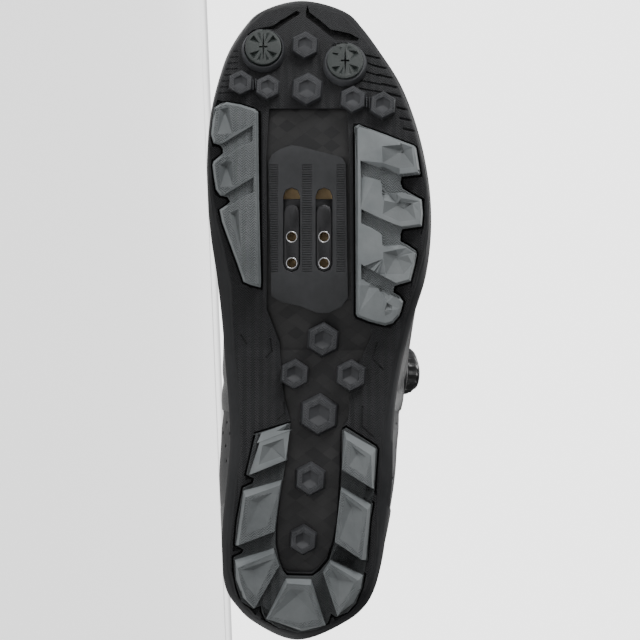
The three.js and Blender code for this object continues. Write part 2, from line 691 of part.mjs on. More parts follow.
// Tread pad: a base plate with a notch between lugs, an inner rib, and the lugs with their pits.
function padOutline(kind) {
  const lugs = LUGS[kind];
  const outline = [];
  lugs.forEach(({ outer, inner }, i) => {
    const face = places([...outer, ...[...inner].reverse()]);
    const base = grow(face, LUG_BEVEL);
    const start = face.findIndex((p) => p.distanceTo(place(outer[0])) < 1e-6);
    for (let k = 0; k < outer.length; k++) outline.push(base[(start + k) % base.length]);
    const next = lugs[i + 1];
    if (!next) return;
    const into = (corner, towards) => {
      const dir = place(towards).sub(place(corner)).normalize();
      return place(corner).addScaledVector(dir, NOTCH_DEPTH - LUG_BEVEL);
    };
    const from = into(outer[outer.length - 1], inner[1]);
    const to = into(next.outer[0], next.inner[0]);
    outline.push(from.clone().lerp(to, 0.25), from.clone().lerp(to, 0.75));
  });
  return [...outline, ...places(PADS[kind].inner)];
}

function lug({ outer, inner }, reachIn) {
  const face = places([...outer, ...[...inner].reverse()]);
  const body = frustum(face, -LUG_DEPTH, grow(face, LUG_BEVEL), -LUG_DEPTH * 0.15);
  const far = (a, b) => place(a).lerp(place(b), reachIn);
  const end = outer.length - 1;
  const field = [...places(outer), far(outer[end], inner[1]), far(outer[0], inner[0])];
  const total = field.reduce((sum, p) => sum.add(p), new THREE.Vector2());
  const middle = total.divideScalar(field.length);
  const pit = field.map((p) => middle.clone().lerp(p, PIT_SHARE));
  const front = pit.reduce((best, p) => (p.x > best.x ? p : best));
  const deepest = middle.clone().lerp(front, 0.4);
  const tip = pit.map((p) => deepest.clone().lerp(p, 0.02));
  return body.subtract(frustum(pit, -LUG_DEPTH - 0.05, tip, -LUG_DEPTH + PIT_DEPTH));
}

function treadPad(kind) {
  const { inner, rib, pit } = PADS[kind];
  let pad = prism(padOutline(kind), -LUG_DEPTH * 0.2, PAD_SEAT - FIT);
  for (const one of LUGS[kind]) pad = pad.add(lug(one, pit));
  if (rib) {
    const [a, b] = inner;
    const side = Math.sign(a[1]);
    const strip = [a, b, [b[0], b[1] + side * rib], [a[0], a[1] + side * rib]];
    pad = pad.add(prism(places(strip), -LUG_DEPTH + 0.6, 0));
  }
  return pad;
}

// Hex lug with tapered sides and a corner-shaped hollow of three facets.
function hexLug({ at, side, radius: share }, root, height) {
  const centre = place([at, side]);
  const radius = share * BALL_WIDTH;
  const body = frustum(hexagon(centre, radius), root - height, hexagon(centre, radius * HEX_FLARE), root);
  const face = root - height;
  const outline = hexagon(centre, radius * HEX_PIT);
  const depth = (i) => (i % 2 ? 0.15 : 1.1);
  const rim = outline.map((p) => new THREE.Vector3(p.x, p.y, face - 0.05));
  const floor = outline.map((p, i) => new THREE.Vector3(p.x, p.y, face + depth(i)));
  const middle = new THREE.Vector3(centre.x, centre.y, face + HEX_PIT_DEPTH);
  const points = [...rim, ...floor, middle];
  const faces = [];
  for (let i = 0; i < 6; i++) {
    const j = (i + 1) % 6;
    faces.push(i, j, 6 + j, i, 6 + j, 6 + i, 6 + i, 6 + j, 12);
    if (i > 0 && i < 5) faces.push(0, i + 1, i);
  }
  return body.subtract(solid(new THREE.BufferGeometry().setFromPoints(points).setIndex(faces)));
}

// Outsole: floor, flared sidewall, lugs and collars, cut for window, seats, grooves and the upper.
function outsoleFrame() {
  const top = (i) => {
    const { x, dir } = columns[i];
    return RIM_HEIGHT * along(RIM_TOPS, (x + dir.x * rimReach[i]) / LENGTH, "top");
  };
  const ring = (reaches, inset, height) =>
    plan(reaches, inset).map((p, i) => new THREE.Vector3(p.x, p.y, height(i)));
  let frame = solid(
    skin([
      ring(faceReach, EDGE, () => 0),
      ring(faceReach, 0, () => EDGE),
      ring(rimReach, 0, (i) => top(i) * RIM_WIDEST),
      ring(rimReach, EDGE / 2, (i) => top(i) - EDGE),
      ring(rimReach, EDGE * 1.5, top),
      ring(rimReach, SIDEWALL * 3, top),
    ]),
  );
  for (const hex of FRAME_HEXES) frame = frame.add(hexLug(hex, OUTSOLE / 2, HEX_HEIGHT + OUTSOLE / 2));
  for (const { at, side } of STUDS) {
    const collar = roundOutline(place([at, side]), STUD_RADIUS + FIT + 1.2, CORNERS);
    frame = frame.add(prism(collar, -STUD_COLLAR, OUTSOLE / 2));
  }
  frame = frame.subtract(prism(plan(featherReach), OUTSOLE, RIM_HEIGHT + 1));
  frame = frame.subtract(prism(places(WINDOW), -1, OUTSOLE + 1));
  for (const kind of Object.keys(PADS)) {
    frame = frame.subtract(prism(grow(padOutline(kind), PAD_GROOVE), -1, PAD_SEAT));
  }
  for (const { at, side } of STUDS) {
    frame = frame.subtract(
      prism(roundOutline(place([at, side]), STUD_RADIUS + FIT, CORNERS), -2 * STUD_COLLAR, OUTSOLE / 2),
    );
  }
  for (const { from, to, count, inner, outer } of RIB_ROWS) {
    for (let i = 0; i < count; i++) {
      const at = from + ((to - from) * i) / (count - 1);
      const start = place([at, inner + (outer - inner) * 0.2 * i]);
      const end = place([at, outer + 0.012 * i]);
      end.x += RIB_SLANT * (end.y - start.y);
      const half = RIB_GROOVE / 2;
      const strip = [
        new THREE.Vector2(start.x - half, start.y), new THREE.Vector2(start.x + half, start.y),
        new THREE.Vector2(end.x + half, end.y), new THREE.Vector2(end.x - half, end.y),
      ];
      frame = frame.subtract(prism(strip, -1, RIB_GROOVE));
    }
  }
  for (const corners of TOE_CUTS) frame = frame.subtract(prism(places(corners), -1, TOE_CUT_DEPTH));
  return bend(frame).subtract(lastSolid(FIT, feather - OUTSOLE));
}

// Cleat parts: slots stand over the tread's bolt line.
const slotMiddle = 0.636 * LENGTH;
const slotLine = 0.014 * BALL_WIDTH;
const slotRows = [slotLine - SLOT_SPACING / 2, slotLine + SLOT_SPACING / 2];
const slotRear = slotMiddle - SLOT_LENGTH / 2;
const slotFront = slotMiddle + SLOT_LENGTH / 2;
const nutTravel = SLOT_LENGTH - NUT_BOSS_LENGTH - 2 * FIT;
const slots = (width, low, high) =>
  slotRows.map((y) => prism(slotOutline(slotRear, slotFront, y, width), low, high));

const flangeSide = SLOT_SPACING / 2 + SLOT_WIDTH / 2 + 2.5;
const flangeOutline = (rear, front, side) => [
  new THREE.Vector2(rear, slotLine - side), new THREE.Vector2(front, slotLine - side),
  new THREE.Vector2(front, slotLine + side), new THREE.Vector2(rear, slotLine + side),
];
const flangeEnd = 2.5;
const flangeFloor = plateTop - NUT_FLANGE - 2 * FIT;

function midsolePlate() {
  let plate = prism(plan(featherReach, FIT), plateBottom, plateTop);
  for (const slot of slots(SLOT_WIDTH, plateBottom - 1, plateTop + 1)) plate = plate.subtract(slot);
  const seat = flangeOutline(slotRear - flangeEnd, slotFront + flangeEnd, flangeSide + FIT);
  return plate.subtract(prism(seat, flangeFloor, plateTop + 1));
}

function cleatBed() {
  let bed = prism(places(CLEAT_BED), OUTSOLE - BED_THICKNESS, OUTSOLE);
  for (const slot of slots(SLOT_WIDTH, -1, OUTSOLE + 1)) bed = bed.subtract(slot);
  return bed;
}

function cleatNut() {
  const rear = slotRear + FIT;
  const front = rear + NUT_BOSS_LENGTH;
  const low = flangeFloor + FIT;
  let nut = prism(
    flangeOutline(rear - flangeEnd, front + flangeEnd, flangeSide), low, low + NUT_FLANGE,
  );
  for (const y of slotRows) {
    nut = nut.add(prism(slotOutline(rear, front, y, SLOT_WIDTH - 2 * FIT), 1.3, low + 0.5));
  }
  for (const y of slotRows) {
    for (let i = 0; i < 2; i++) {
      const x = rear + SLOT_WIDTH / 2 + i * NUT_HOLE_SPACING;
      const hole = roundOutline(new THREE.Vector2(x, y), NUT_HOLE_RADIUS, 8);
      nut = nut.subtract(prism(hole, 0, low + NUT_FLANGE + 1));
    }
  }
  return nut;
}

// Toe plug with a cross slot.
function toeStud({ at, side }) {
  const centre = place([at, side]);
  const low = -STUD_HEIGHT;
  let stud = frustum(
    roundOutline(centre, STUD_RADIUS - 0.7, CORNERS), low,
    roundOutline(centre, STUD_RADIUS, CORNERS), OUTSOLE / 2 - FIT,
  );
  for (const [dx, dy] of [[5, 0.9], [0.9, 4.2]]) {
    const bar = [
      new THREE.Vector2(centre.x - dx, centre.y - dy), new THREE.Vector2(centre.x + dx, centre.y - dy),
      new THREE.Vector2(centre.x + dx, centre.y + dy), new THREE.Vector2(centre.x - dx, centre.y + dy),
    ];
    stud = stud.subtract(prism(bar, low - 1, low + 2));
  }
  return stud;
}

// Upper: the last's shell, cut along the collar and the throat.
function extrudedSide(points, margin) {
  const shape = new THREE.Shape(points);
  const geometry = new THREE.ExtrudeGeometry(shape, { depth: 2 * margin, bevelEnabled: false });
  geometry.translate(0, 0, -margin);
  geometry.rotateX(Math.PI / 2);
  return geometry;
}

function collarCut() {
  const above = 2 * ANKLE_HEIGHT;
  const line = new THREE.SplineCurve([
    new THREE.Vector2(-12, HEEL_BACK_HEIGHT + 1),
    new THREE.Vector2(6, HEEL_BACK_HEIGHT),
    new THREE.Vector2(0.14 * LENGTH, HEEL_BACK_HEIGHT - 0.55 * (HEEL_BACK_HEIGHT - COLLAR_DIP_HEIGHT)),
    new THREE.Vector2(COLLAR_DIP * LENGTH, COLLAR_DIP_HEIGHT),
    new THREE.Vector2((COLLAR_DIP + 0.06) * LENGTH, COLLAR_DIP_HEIGHT + 8),
    new THREE.Vector2((THROAT_TOP - 0.005) * LENGTH, THROAT_TOP_HEIGHT - 12),
    new THREE.Vector2((THROAT_TOP + 0.015) * LENGTH, THROAT_TOP_HEIGHT - 3),
    new THREE.Vector2((THROAT_TOP + 0.05) * LENGTH, THROAT_TOP_HEIGHT),
  ]).getPoints(24);
  const points = [
    ...line,
    new THREE.Vector2((THROAT_TOP + 0.05) * LENGTH, above),
    new THREE.Vector2(-12, above),
  ];
  return solid(extrudedSide(points, BALL_WIDTH));
}

function throatCut() {
  const half = THROAT_WIDTH / 2;
  const end = THROAT_END * LENGTH;
  const steps = 8;
  const front = Array.from({ length: steps + 1 }, (_, i) => {
    const angle = -Math.PI / 2 + (i * Math.PI) / steps;
    return new THREE.Vector2(end - half + half * Math.cos(angle), half * 0.85 * Math.sin(angle));
  });
  const rear = (THROAT_TOP - 0.06) * LENGTH;
  const outline = [...front, new THREE.Vector2(rear, half * 1.45), new THREE.Vector2(rear, -half * 1.45)];
  return prism(outline, TOE_HEIGHT * 0.8, 2 * ANKLE_HEIGHT);
}

function upper() {
  const shell = lastSolid(0, FIT).subtract(lastSolid(-UPPER_WALL, feather));
  const below = bend(prism(plan(rimReach), -feather, feather));
  return shell.subtract(below).subtract(collarCut()).subtract(throatCut());
}

// Tongue: a layer under the throat, wider than it and longer at the top.
function tongue() {
  const outside = UPPER_WALL + FIT;
  const layer = lastSolid(-outside).subtract(lastSolid(-outside - TONGUE_WALL));
  const half = THROAT_WIDTH / 2;
  const rear = THROAT_TOP - 0.065;
  const outline = [
    [THROAT_END + 0.03, 0.45], [THROAT_END + 0.01, 0.95], [THROAT_END - 0.07, 1.4],
    [THROAT_TOP + 0.07, 1.6], [rear + 0.035, 1.6], [rear + 0.01, 1.3], [rear, 0.7],
  ];
  const points = [
    ...outline.map(([at, share]) => new THREE.Vector2(at * LENGTH, share * half)),
    ...[...outline].reverse().map(([at, share]) => new THREE.Vector2(at * LENGTH, -share * half)),
  ];
  return layer.intersect(prism(points, TOE_HEIGHT * 0.8, 2 * ANKLE_HEIGHT));
}

// Footbed on its board, inside the upper's lower edge.
const insole = () => prism(plan(featherReach, UPPER_WALL + FIT + 0.2), feather, insoleTop);

// A round piece that stands along a direction from a point.
function turned(profile, segments, point, direction) {
  const geometry = new THREE.LatheGeometry(
    profile.map(([r, h]) => new THREE.Vector2(r, h)), segments,
  );
  const turn = new THREE.Quaternion().setFromUnitVectors(new THREE.Vector3(0, 1, 0), direction);
  geometry.applyQuaternion(turn);
  geometry.translate(point.x, point.y, point.z);
  return solid(geometry);
}

const dialPoint = sideOfLast(DIAL.at, DIAL.height, 1);
const dialNormal = normalAt(DIAL.at, DIAL.height, 1);
const DIAL_BASE_TOP = 2.6;
function dialBase(clearOf) {
  const r = DIAL_RADIUS + 1.8;
  const body = turned(
    [[0, -7], [r, -7], [r, DIAL_BASE_TOP - 1], [r - 1.2, DIAL_BASE_TOP], [0, DIAL_BASE_TOP]],
    28, dialPoint, dialNormal,
  );
  return body.subtract(clearOf);
}
function dialKnob() {
  const low = DIAL_BASE_TOP + FIT;
  const high = low + DIAL_HEIGHT;
  const toothed = (radius, groove, height) =>
    Array.from({ length: 2 * DIAL_TEETH }, (_, i) => {
      const angle = (i * Math.PI) / DIAL_TEETH;
      const r = i % 2 ? radius - groove : radius;
      return new THREE.Vector3(r * Math.cos(angle), r * Math.sin(angle), height);
    });
  const geometry = skin([
    toothed(DIAL_RADIUS - 0.6, 0.6, low),
    toothed(DIAL_RADIUS, 1, low + 1),
    toothed(DIAL_RADIUS - 0.5, 0.9, high - 2),
    toothed(DIAL_RADIUS - 2.2, 0, high),
  ]);
  const turn = new THREE.Quaternion().setFromUnitVectors(new THREE.Vector3(0, 0, 1), dialNormal);
  geometry.applyQuaternion(turn);
  geometry.translate(dialPoint.x, dialPoint.y, dialPoint.z);
  return solid(geometry);
}

// Wire across the throat through low guides on its two edges.
const guideSide = THROAT_WIDTH / 2 + 7;
const wireHeight = WIRE_RADIUS + 2.2;
const WIRE_STEPS = 42;
function lifted(at, y, height) {
  const p = onLast(at, y);
  const ahead = onLast(at + PROBE, y).sub(p);
  const across = onLast(at, y + PROBE * LENGTH).sub(p);
  return p.addScaledVector(ahead.cross(across).normalize(), height);
}
function wirePath() {
  const overSide = (at, height) =>
    sideOfLast(at, height, 1).addScaledVector(normalAt(at, height, 1), wireHeight);
  const risesTo = topHeight(GUIDES[0].at) - WIRE_CLIMB;
  const climb = [0.25, 0.6, 1].map((t) =>
    overSide(
      THREE.MathUtils.lerp(DIAL.at, GUIDES[0].at, t),
      THREE.MathUtils.lerp(DIAL.height, risesTo, t),
    ),
  );
  const dialEdge = dialPoint.clone().addScaledVector(dialNormal, DIAL_BASE_TOP / 2);
  const towards = climb[1].clone().sub(dialEdge).normalize();
  const points = [dialEdge.addScaledVector(towards, DIAL_RADIUS + 1.8 + 2 * FIT), ...climb.slice(1)];
  for (const { at, side } of GUIDES) {
    const y = side * guideSide;
    for (const across of [-0.5, 0, 0.5]) {
      points.push(lifted(at - 0.025 + 0.008 * across, y * across, wireHeight));
    }
    points.push(lifted(at - 0.014, y * 0.92, wireHeight));
    points.push(lifted(at, y * 1.12, wireHeight));
    points.push(lifted(at + 0.014, y * 0.92, wireHeight));
  }
  const end = GUIDES[GUIDES.length - 1];
  points.push(lifted(end.at + 0.022, end.side * guideSide * 0.5, wireHeight));
  return points;
}
function tube(points, radius, sides, steps) {
  const curve = new THREE.CatmullRomCurve3(points, false, "centripetal");
  const section = new THREE.Shape(roundOutline(new THREE.Vector2(), radius, sides));
  return solid(
    new THREE.ExtrudeGeometry(section, { steps, extrudePath: curve, bevelEnabled: false }),
  );
}
function laceGuide({ at, side }, clearOf, channel) {
  const y = side * guideSide;
  const centre = lifted(at, y * 1.04, 1.4);
  const ahead = lifted(at + PROBE, y * 1.04, 1.4).sub(centre).normalize();
  const up = lifted(at, y * 1.04, 3).sub(centre).normalize();
  const across = new THREE.Vector3().crossVectors(up, ahead);
  const [a, b, bevel] = [GUIDE_LENGTH / 2, GUIDE_WIDTH / 2, 2];
  const shape = new THREE.Shape([
    new THREE.Vector2(-a + bevel, -b), new THREE.Vector2(a - bevel, -b), new THREE.Vector2(a, -b + bevel),
    new THREE.Vector2(a, b - bevel), new THREE.Vector2(a - bevel, b), new THREE.Vector2(-a + bevel, b),
    new THREE.Vector2(-a, b - bevel), new THREE.Vector2(-a, -b + bevel),
  ]);
  const geometry = new THREE.ExtrudeGeometry(shape, { depth: 9, bevelEnabled: false });
  geometry.translate(0, 0, -6);
  geometry.applyMatrix4(new THREE.Matrix4().makeBasis(ahead, across, up).setPosition(centre));
  return solid(geometry).subtract(clearOf).subtract(channel);
}

// Finishes: colour, roughness, metalness and density in grams per cubic millimetre.
const FINISHES = {
  rubber: { color: 0x1d1f20, roughness: 0.75, metalness: 0, density: 0.00115 },
  treadRubber: { color: 0x6f7472, roughness: 0.7, metalness: 0, density: 0.00115 },
  nylon: { color: 0x17181a, roughness: 0.4, metalness: 0, density: 0.00125 },
  laminate: { color: 0x202124, roughness: 0.5, metalness: 0, density: 0.0008 },
  foam: { color: 0x2a2b2d, roughness: 0.9, metalness: 0, density: 0.0003 },
  board: { color: 0xa88f63, roughness: 0.9, metalness: 0, density: 0.0004 },
  steel: { color: 0x1a1a1b, roughness: 0.35, metalness: 0.9, density: 0.0078 },
  plug: { color: 0x3c4643, roughness: 0.5, metalness: 0, density: 0.0013 },
  wire: { color: 0x8b8d8f, roughness: 0.3, metalness: 0.6, density: 0.003 },
};

const pieces = [];
const addPiece = (name, finish, made) => pieces.push({ name, finish, made });
addPiece("outsole_frame", "rubber", outsoleFrame());
addPiece("midsole_plate", "nylon", bend(midsolePlate()));
addPiece("tread_pad_medial", "treadRubber", bend(treadPad("medial")));
addPiece("tread_pad_lateral", "treadRubber", bend(treadPad("lateral")));
addPiece("tread_pad_heel", "treadRubber", bend(treadPad("heel")));
for (const hex of PLATE_HEXES) {
  addPiece(hex.name, "rubber", bend(hexLug(hex, OUTSOLE, HEX_HEIGHT + OUTSOLE / 2)));
}
for (const stud of STUDS) addPiece(stud.name, "plug", bend(toeStud(stud)));
addPiece("cleat_bed", "nylon", bend(cleatBed()));
addPiece("cleat_nut", "steel", bend(cleatNut()));
addPiece("insole", "board", bend(insole()));
addPiece("upper", "laminate", upper());
addPiece("tongue", "foam", tongue());
const outsideOfUpper = lastSolid(FIT);
const points = wirePath();
addPiece("lace_wire", "wire", tube(points, WIRE_RADIUS, 6, WIRE_STEPS));
const channel = tube(points, WIRE_RADIUS + FIT, 6, WIRE_STEPS);
for (const guide of GUIDES) {
  addPiece(guide.name, "rubber", laceGuide(guide, outsideOfUpper, channel));
}
addPiece("dial_base", "nylon", dialBase(outsideOfUpper));
addPiece("dial_knob", "nylon", dialKnob());

// Centre of mass of the pieces, from their tetrahedra.
function centreOfMass() {
  let mass = 0;
  const sum = new THREE.Vector3();
  const [a, b, c] = [new THREE.Vector3(), new THREE.Vector3(), new THREE.Vector3()];
  for (const { finish, geometry } of pieces) {
    const { position } = geometry.attributes;
    const index = geometry.index.array;
    for (let i = 0; i < index.length; i += 3) {
      a.fromBufferAttribute(position, index[i]);
      b.fromBufferAttribute(position, index[i + 1]);
      c.fromBufferAttribute(position, index[i + 2]);
      const weight = (a.dot(b.clone().cross(c)) / 6) * FINISHES[finish].density;
      mass += weight;
      sum.addScaledVector(a.clone().add(b).add(c), weight / 4);
    }
  }
  return sum.divideScalar(mass);
}

// The face of the hull on the medial side that the centre of mass stands over: the shoe rests on it.
function restingNormal() {
  const centre = centreOfMass();
  const all = pieces.flatMap(({ geometry }) => {
    const { position } = geometry.attributes;
    return Array.from({ length: position.count }, (_, i) =>
      new THREE.Vector3().fromBufferAttribute(position, i),
    );
  });
  const hull = new ConvexHull().setFromPoints(all);
  let best = null;
  for (const face of hull.faces) {
    if (face.normal.y > -0.7) continue;
    const foot = centre.clone().addScaledVector(face.normal, -face.distanceToPoint(centre));
    let inside = true;
    let edge = face.edge;
    do {
      const [from, to] = [edge.tail().point, edge.head().point];
      const side = to.clone().sub(from).cross(foot.clone().sub(from)).dot(face.normal);
      if (side < 0) inside = false;
      edge = edge.next;
    } while (edge !== face.edge);
    if (inside && (!best || face.area > best.area)) best = face;
  }
  return best.normal.clone();
}

for (const piece of pieces) piece.geometry = geometryOf(piece.made);

// Laid down: the resting face turns down, the sole faces -Y and the toe points along -X.
const down = restingNormal();
const up = down.clone().negate();
const heelward = new THREE.Vector3(-1, 0, 0).projectOnPlane(up).normalize();
const back = new THREE.Vector3().crossVectors(up, heelward);
const turnDown = new THREE.Matrix4().makeBasis(heelward, back, up).transpose();
for (const { geometry } of pieces) geometry.applyMatrix4(turnDown);
const box = new THREE.Box3();
for (const { geometry } of pieces) {
  geometry.computeBoundingBox();
  box.union(geometry.boundingBox);
}

const shoe = new THREE.Group();
for (const { name, finish, geometry } of pieces) {
  const { color, roughness, metalness } = FINISHES[finish];
  const mesh = new THREE.Mesh(
    geometry,
    new THREE.MeshStandardMaterial({ color, roughness, metalness }),
  );
  mesh.name = name;
  shoe.add(mesh);
}
shoe.position.set(
  -(box.min.x + box.max.x) / 2,
  -(box.min.y + box.max.y) / 2,
  -box.min.z,
);

export default shoe;
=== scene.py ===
import json
import math

import bpy
from mathutils import Matrix, Vector


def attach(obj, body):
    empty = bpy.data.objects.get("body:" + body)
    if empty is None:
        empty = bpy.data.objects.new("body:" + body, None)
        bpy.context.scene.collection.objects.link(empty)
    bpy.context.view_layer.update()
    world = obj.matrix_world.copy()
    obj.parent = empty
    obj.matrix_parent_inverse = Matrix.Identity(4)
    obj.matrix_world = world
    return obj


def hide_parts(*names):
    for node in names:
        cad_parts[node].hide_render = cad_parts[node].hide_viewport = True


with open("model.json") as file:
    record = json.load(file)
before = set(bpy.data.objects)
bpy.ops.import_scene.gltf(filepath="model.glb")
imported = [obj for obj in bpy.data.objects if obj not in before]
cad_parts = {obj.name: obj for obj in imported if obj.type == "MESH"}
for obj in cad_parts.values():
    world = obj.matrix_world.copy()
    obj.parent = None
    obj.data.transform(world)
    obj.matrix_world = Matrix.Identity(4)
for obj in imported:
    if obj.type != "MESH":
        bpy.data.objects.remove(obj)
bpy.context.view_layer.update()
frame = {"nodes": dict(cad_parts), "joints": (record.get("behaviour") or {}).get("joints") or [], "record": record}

SHOE = "shoe"


# Where the shoe lies. It rests on its inner side with the sole towards the camera, so the shoe's own
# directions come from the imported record: the toe from the slide of the cleat nut, the way into the
# shoe from the cleat face. Lengths below are metres and are measured standing, on the tread's sheet.
LENGTH = 0.28
BALL_WIDTH = 0.0968
toeward = Vector(frame["joints"][0]["axis"])
inward = -Vector(frame["record"]["mounts"][0]["axis"])
outward = inward.cross(toeward).normalized()
cleat_face = Vector(frame["record"]["mounts"][0]["pos_m"])
BOLT_LINE = (0.636 * LENGTH, 0.014 * BALL_WIDTH, 0.0071)
heel_tip = cleat_face - toeward * BOLT_LINE[0] - outward * BOLT_LINE[1] - inward * BOLT_LINE[2]
standing = Matrix.Identity(4)
for column, axis in enumerate((toeward, outward, inward, heel_tip)):
    for row in range(3):
        standing[row][column] = axis[row]


# Camera, pale floor and soft light. The camera looks square at the sole with the toe up in the picture,
# far enough away for a long lens and just above the floor. One big soft light comes from the toe's
# side, a weaker one from the heel, and the floor throws light back from the inner side.
VIEW_HEIGHT = 0.2776  # of the picture, at the sole
VIEW_SIDE = 0.0066  # from the tread's middle line to the picture's middle
CAMERA_DISTANCE = 1.3
AIM_DOWN = 0.0009  # from the middle of the length towards the heel
aim = standing @ Vector((LENGTH / 2 - AIM_DOWN, VIEW_SIDE, 0.011))
camera_data = bpy.data.cameras.new("camera")
camera_data.sensor_width = 36
camera_data.clip_start = 0.01
camera_data.lens = 36 * CAMERA_DISTANCE / VIEW_HEIGHT
camera = bpy.data.objects.new("camera", camera_data)
bpy.context.scene.collection.objects.link(camera)
turn = Matrix((outward, toeward, -inward)).transposed()
camera.matrix_world = Matrix.Translation(aim - inward * CAMERA_DISTANCE) @ turn.to_4x4()
bpy.context.scene.camera = camera

bpy.ops.object.select_all(action="DESELECT")
bpy.ops.mesh.primitive_grid_add(x_subdivisions=4, y_subdivisions=4, size=8)
floor = bpy.context.object
floor.name = "floor"
paper = bpy.data.materials.new("pale_floor")
paper.use_nodes = True
paper_surface = paper.node_tree.nodes["Principled BSDF"]
paper_surface.inputs["Base Color"].default_value = (0.9, 0.9, 0.9, 1)
paper_surface.inputs["Roughness"].default_value = 0.9
paper_surface.inputs["Emission Color"].default_value = (1, 1, 1, 1)
paper_surface.inputs["Emission Strength"].default_value = 0.9
floor.data.materials.append(paper)

sky = bpy.data.worlds.new("studio")
sky.use_nodes = True
soft_light = sky.node_tree.nodes["Background"]
soft_light.inputs["Color"].default_value = (1, 1, 1, 1)
soft_light.inputs["Strength"].default_value = 0.2
backdrop = sky.node_tree.nodes.new("ShaderNodeBackground")
backdrop.inputs["Color"].default_value = (1, 1, 1, 1)
backdrop.inputs["Strength"].default_value = 3.2
shown = sky.node_tree.nodes.new("ShaderNodeMixShader")
seen_first = sky.node_tree.nodes.new("ShaderNodeLightPath")
sky.node_tree.links.new(seen_first.outputs["Is Camera Ray"], shown.inputs["Fac"])
sky.node_tree.links.new(soft_light.outputs[0], shown.inputs[1])
sky.node_tree.links.new(backdrop.outputs[0], shown.inputs[2])
sky.node_tree.links.new(shown.outputs[0], sky.node_tree.nodes["World Output"].inputs["Surface"])
bpy.context.scene.world = sky


def softbox(name, place, size, power):
    light = bpy.data.lights.new(name, "AREA")
    light.shape = "SQUARE"
    light.size = size
    light.energy = power
    lamp = bpy.data.objects.new(name, light)
    lamp.location = place
    lamp.rotation_mode = "QUATERNION"
    lamp.rotation_quaternion = (aim - Vector(place)).to_track_quat("-Z", "Y")
    lamp.visible_camera = False
    bpy.context.scene.collection.objects.link(lamp)


softbox("light_toe", (-1.2, -0.7, 0.55), 0.6, 30)
softbox("light_camera", (-0.2, -1.3, 0.8), 0.8, 4)
softbox("light_floor", (-0.2, 0.6, 1.2), 0.9, 16)


# Rubber outsole: a black frame moulded in one piece with its rim, toe ribs, round seats for the toe
# plugs and eight hexagonal lugs, bonded to the plate. Every edge of the mould is slightly rounded,
# and the flat rubber carries a fine chevron tooling about a millimetre wide.
PIXEL = LENGTH / 638  # the photograph shows the sole's length in 638 of its pixels
SIDE_PIXEL = BALL_WIDTH / 220.5
MIDDLE_LINE = 305
HEEL_LINE = 639
MM = 0.001
SOLE_RISES = [
    (0, 9.23), (0.08, 6.92), (0.15, 6.5), (0.25, 6.8), (0.35, 10.4), (0.45, 12.5),
    (0.5, 9.8), (0.55, 6.5), (0.75, 6.5), (0.85, 11.33), (0.92, 17.42), (1, 27.5),
]


def seen(corners):
    """Places on the sole, in metres, of points seen in the photograph."""
    return [((HEEL_LINE - y) * PIXEL, (x - MIDDLE_LINE) * SIDE_PIXEL) for x, y in corners]


def sole_rise(x):
    share = min(max(x / LENGTH, 0), 1)
    for (a, low), (b, high) in zip(SOLE_RISES, SOLE_RISES[1:]):
        if share <= b:
            return (low + (high - low) * (share - a) / (b - a)) * MM
    return SOLE_RISES[-1][1] * MM


def only(piece):
    bpy.ops.object.select_all(action="DESELECT")
    piece.select_set(True)
    bpy.context.view_layer.objects.active = piece


def slab(name, outline, low, high, foot=None):
    """A flat block on an outline; its other end may have an outline of its own."""
    bpy.ops.object.select_all(action="DESELECT")
    bpy.ops.mesh.primitive_circle_add(vertices=len(outline), radius=0.01, fill_type="NGON")
    block = bpy.context.object
    block.name = name
    for corner, (x, y) in zip(block.data.vertices, outline):
        corner.co = (x, y, low)
    bpy.ops.object.mode_set(mode="EDIT")
    bpy.ops.mesh.select_all(action="SELECT")
    bpy.ops.mesh.extrude_region_move(TRANSFORM_OT_translate={"value": (0, 0, high - low)})
    bpy.ops.object.mode_set(mode="OBJECT")
    if foot:
        far_end = [corner for corner in block.data.vertices if corner.co.z > (low + high) / 2]
        for corner, (x, y) in zip(far_end, foot):
            corner.co = (x, y, high)
    outwards(block)
    return block


def hollow(name, outline, face, apex, depth):
    """A pointed cutter for a pit with one facet to each side of its outline."""
    cutter = slab(name, outline, face - 0.3 * MM, face)
    only(cutter)
    bpy.ops.object.mode_set(mode="EDIT")
    bpy.ops.mesh.select_all(action="DESELECT")
    bpy.ops.object.mode_set(mode="OBJECT")
    for corner in cutter.data.vertices:
        corner.select = corner.co.z > face - 0.1 * MM
    bpy.ops.object.mode_set(mode="EDIT")
    bpy.ops.mesh.select_mode(type="VERT")
    bpy.ops.mesh.extrude_region_move(TRANSFORM_OT_translate={"value": (0, 0, depth)})
    bpy.ops.mesh.merge(type="COLLAPSE")
    bpy.ops.object.mode_set(mode="OBJECT")
    tip = max(cutter.data.vertices, key=lambda v: v.co.z)
    tip.co = (*apex, face + depth)
    outwards(cutter)
    return cutter


def outwards(piece):
    only(piece)
    bpy.ops.object.mode_set(mode="EDIT")
    bpy.ops.mesh.select_all(action="SELECT")
    bpy.ops.mesh.remove_doubles(threshold=0.000002)
    bpy.ops.mesh.normals_make_consistent(inside=False)
    bpy.ops.object.mode_set(mode="OBJECT")


def lay_on_sole(piece):
    """Follows the sole's rise, then lies down with the shoe."""
    only(piece)
    bpy.ops.object.mode_set(mode="EDIT")
    bpy.ops.mesh.select_all(action="SELECT")
    bpy.ops.mesh.quads_convert_to_tris(quad_method="BEAUTY", ngon_method="BEAUTY")
    for share, _ in SOLE_RISES[1:-1]:
        bpy.ops.mesh.select_all(action="SELECT")
        bpy.ops.mesh.bisect(plane_co=(share * LENGTH, 0, 0), plane_no=(1, 0, 0))
    bpy.ops.object.mode_set(mode="OBJECT")
    for corner in piece.data.vertices:
        corner.co.z += sole_rise(corner.co.x)
    piece.data.transform(standing)
    return piece


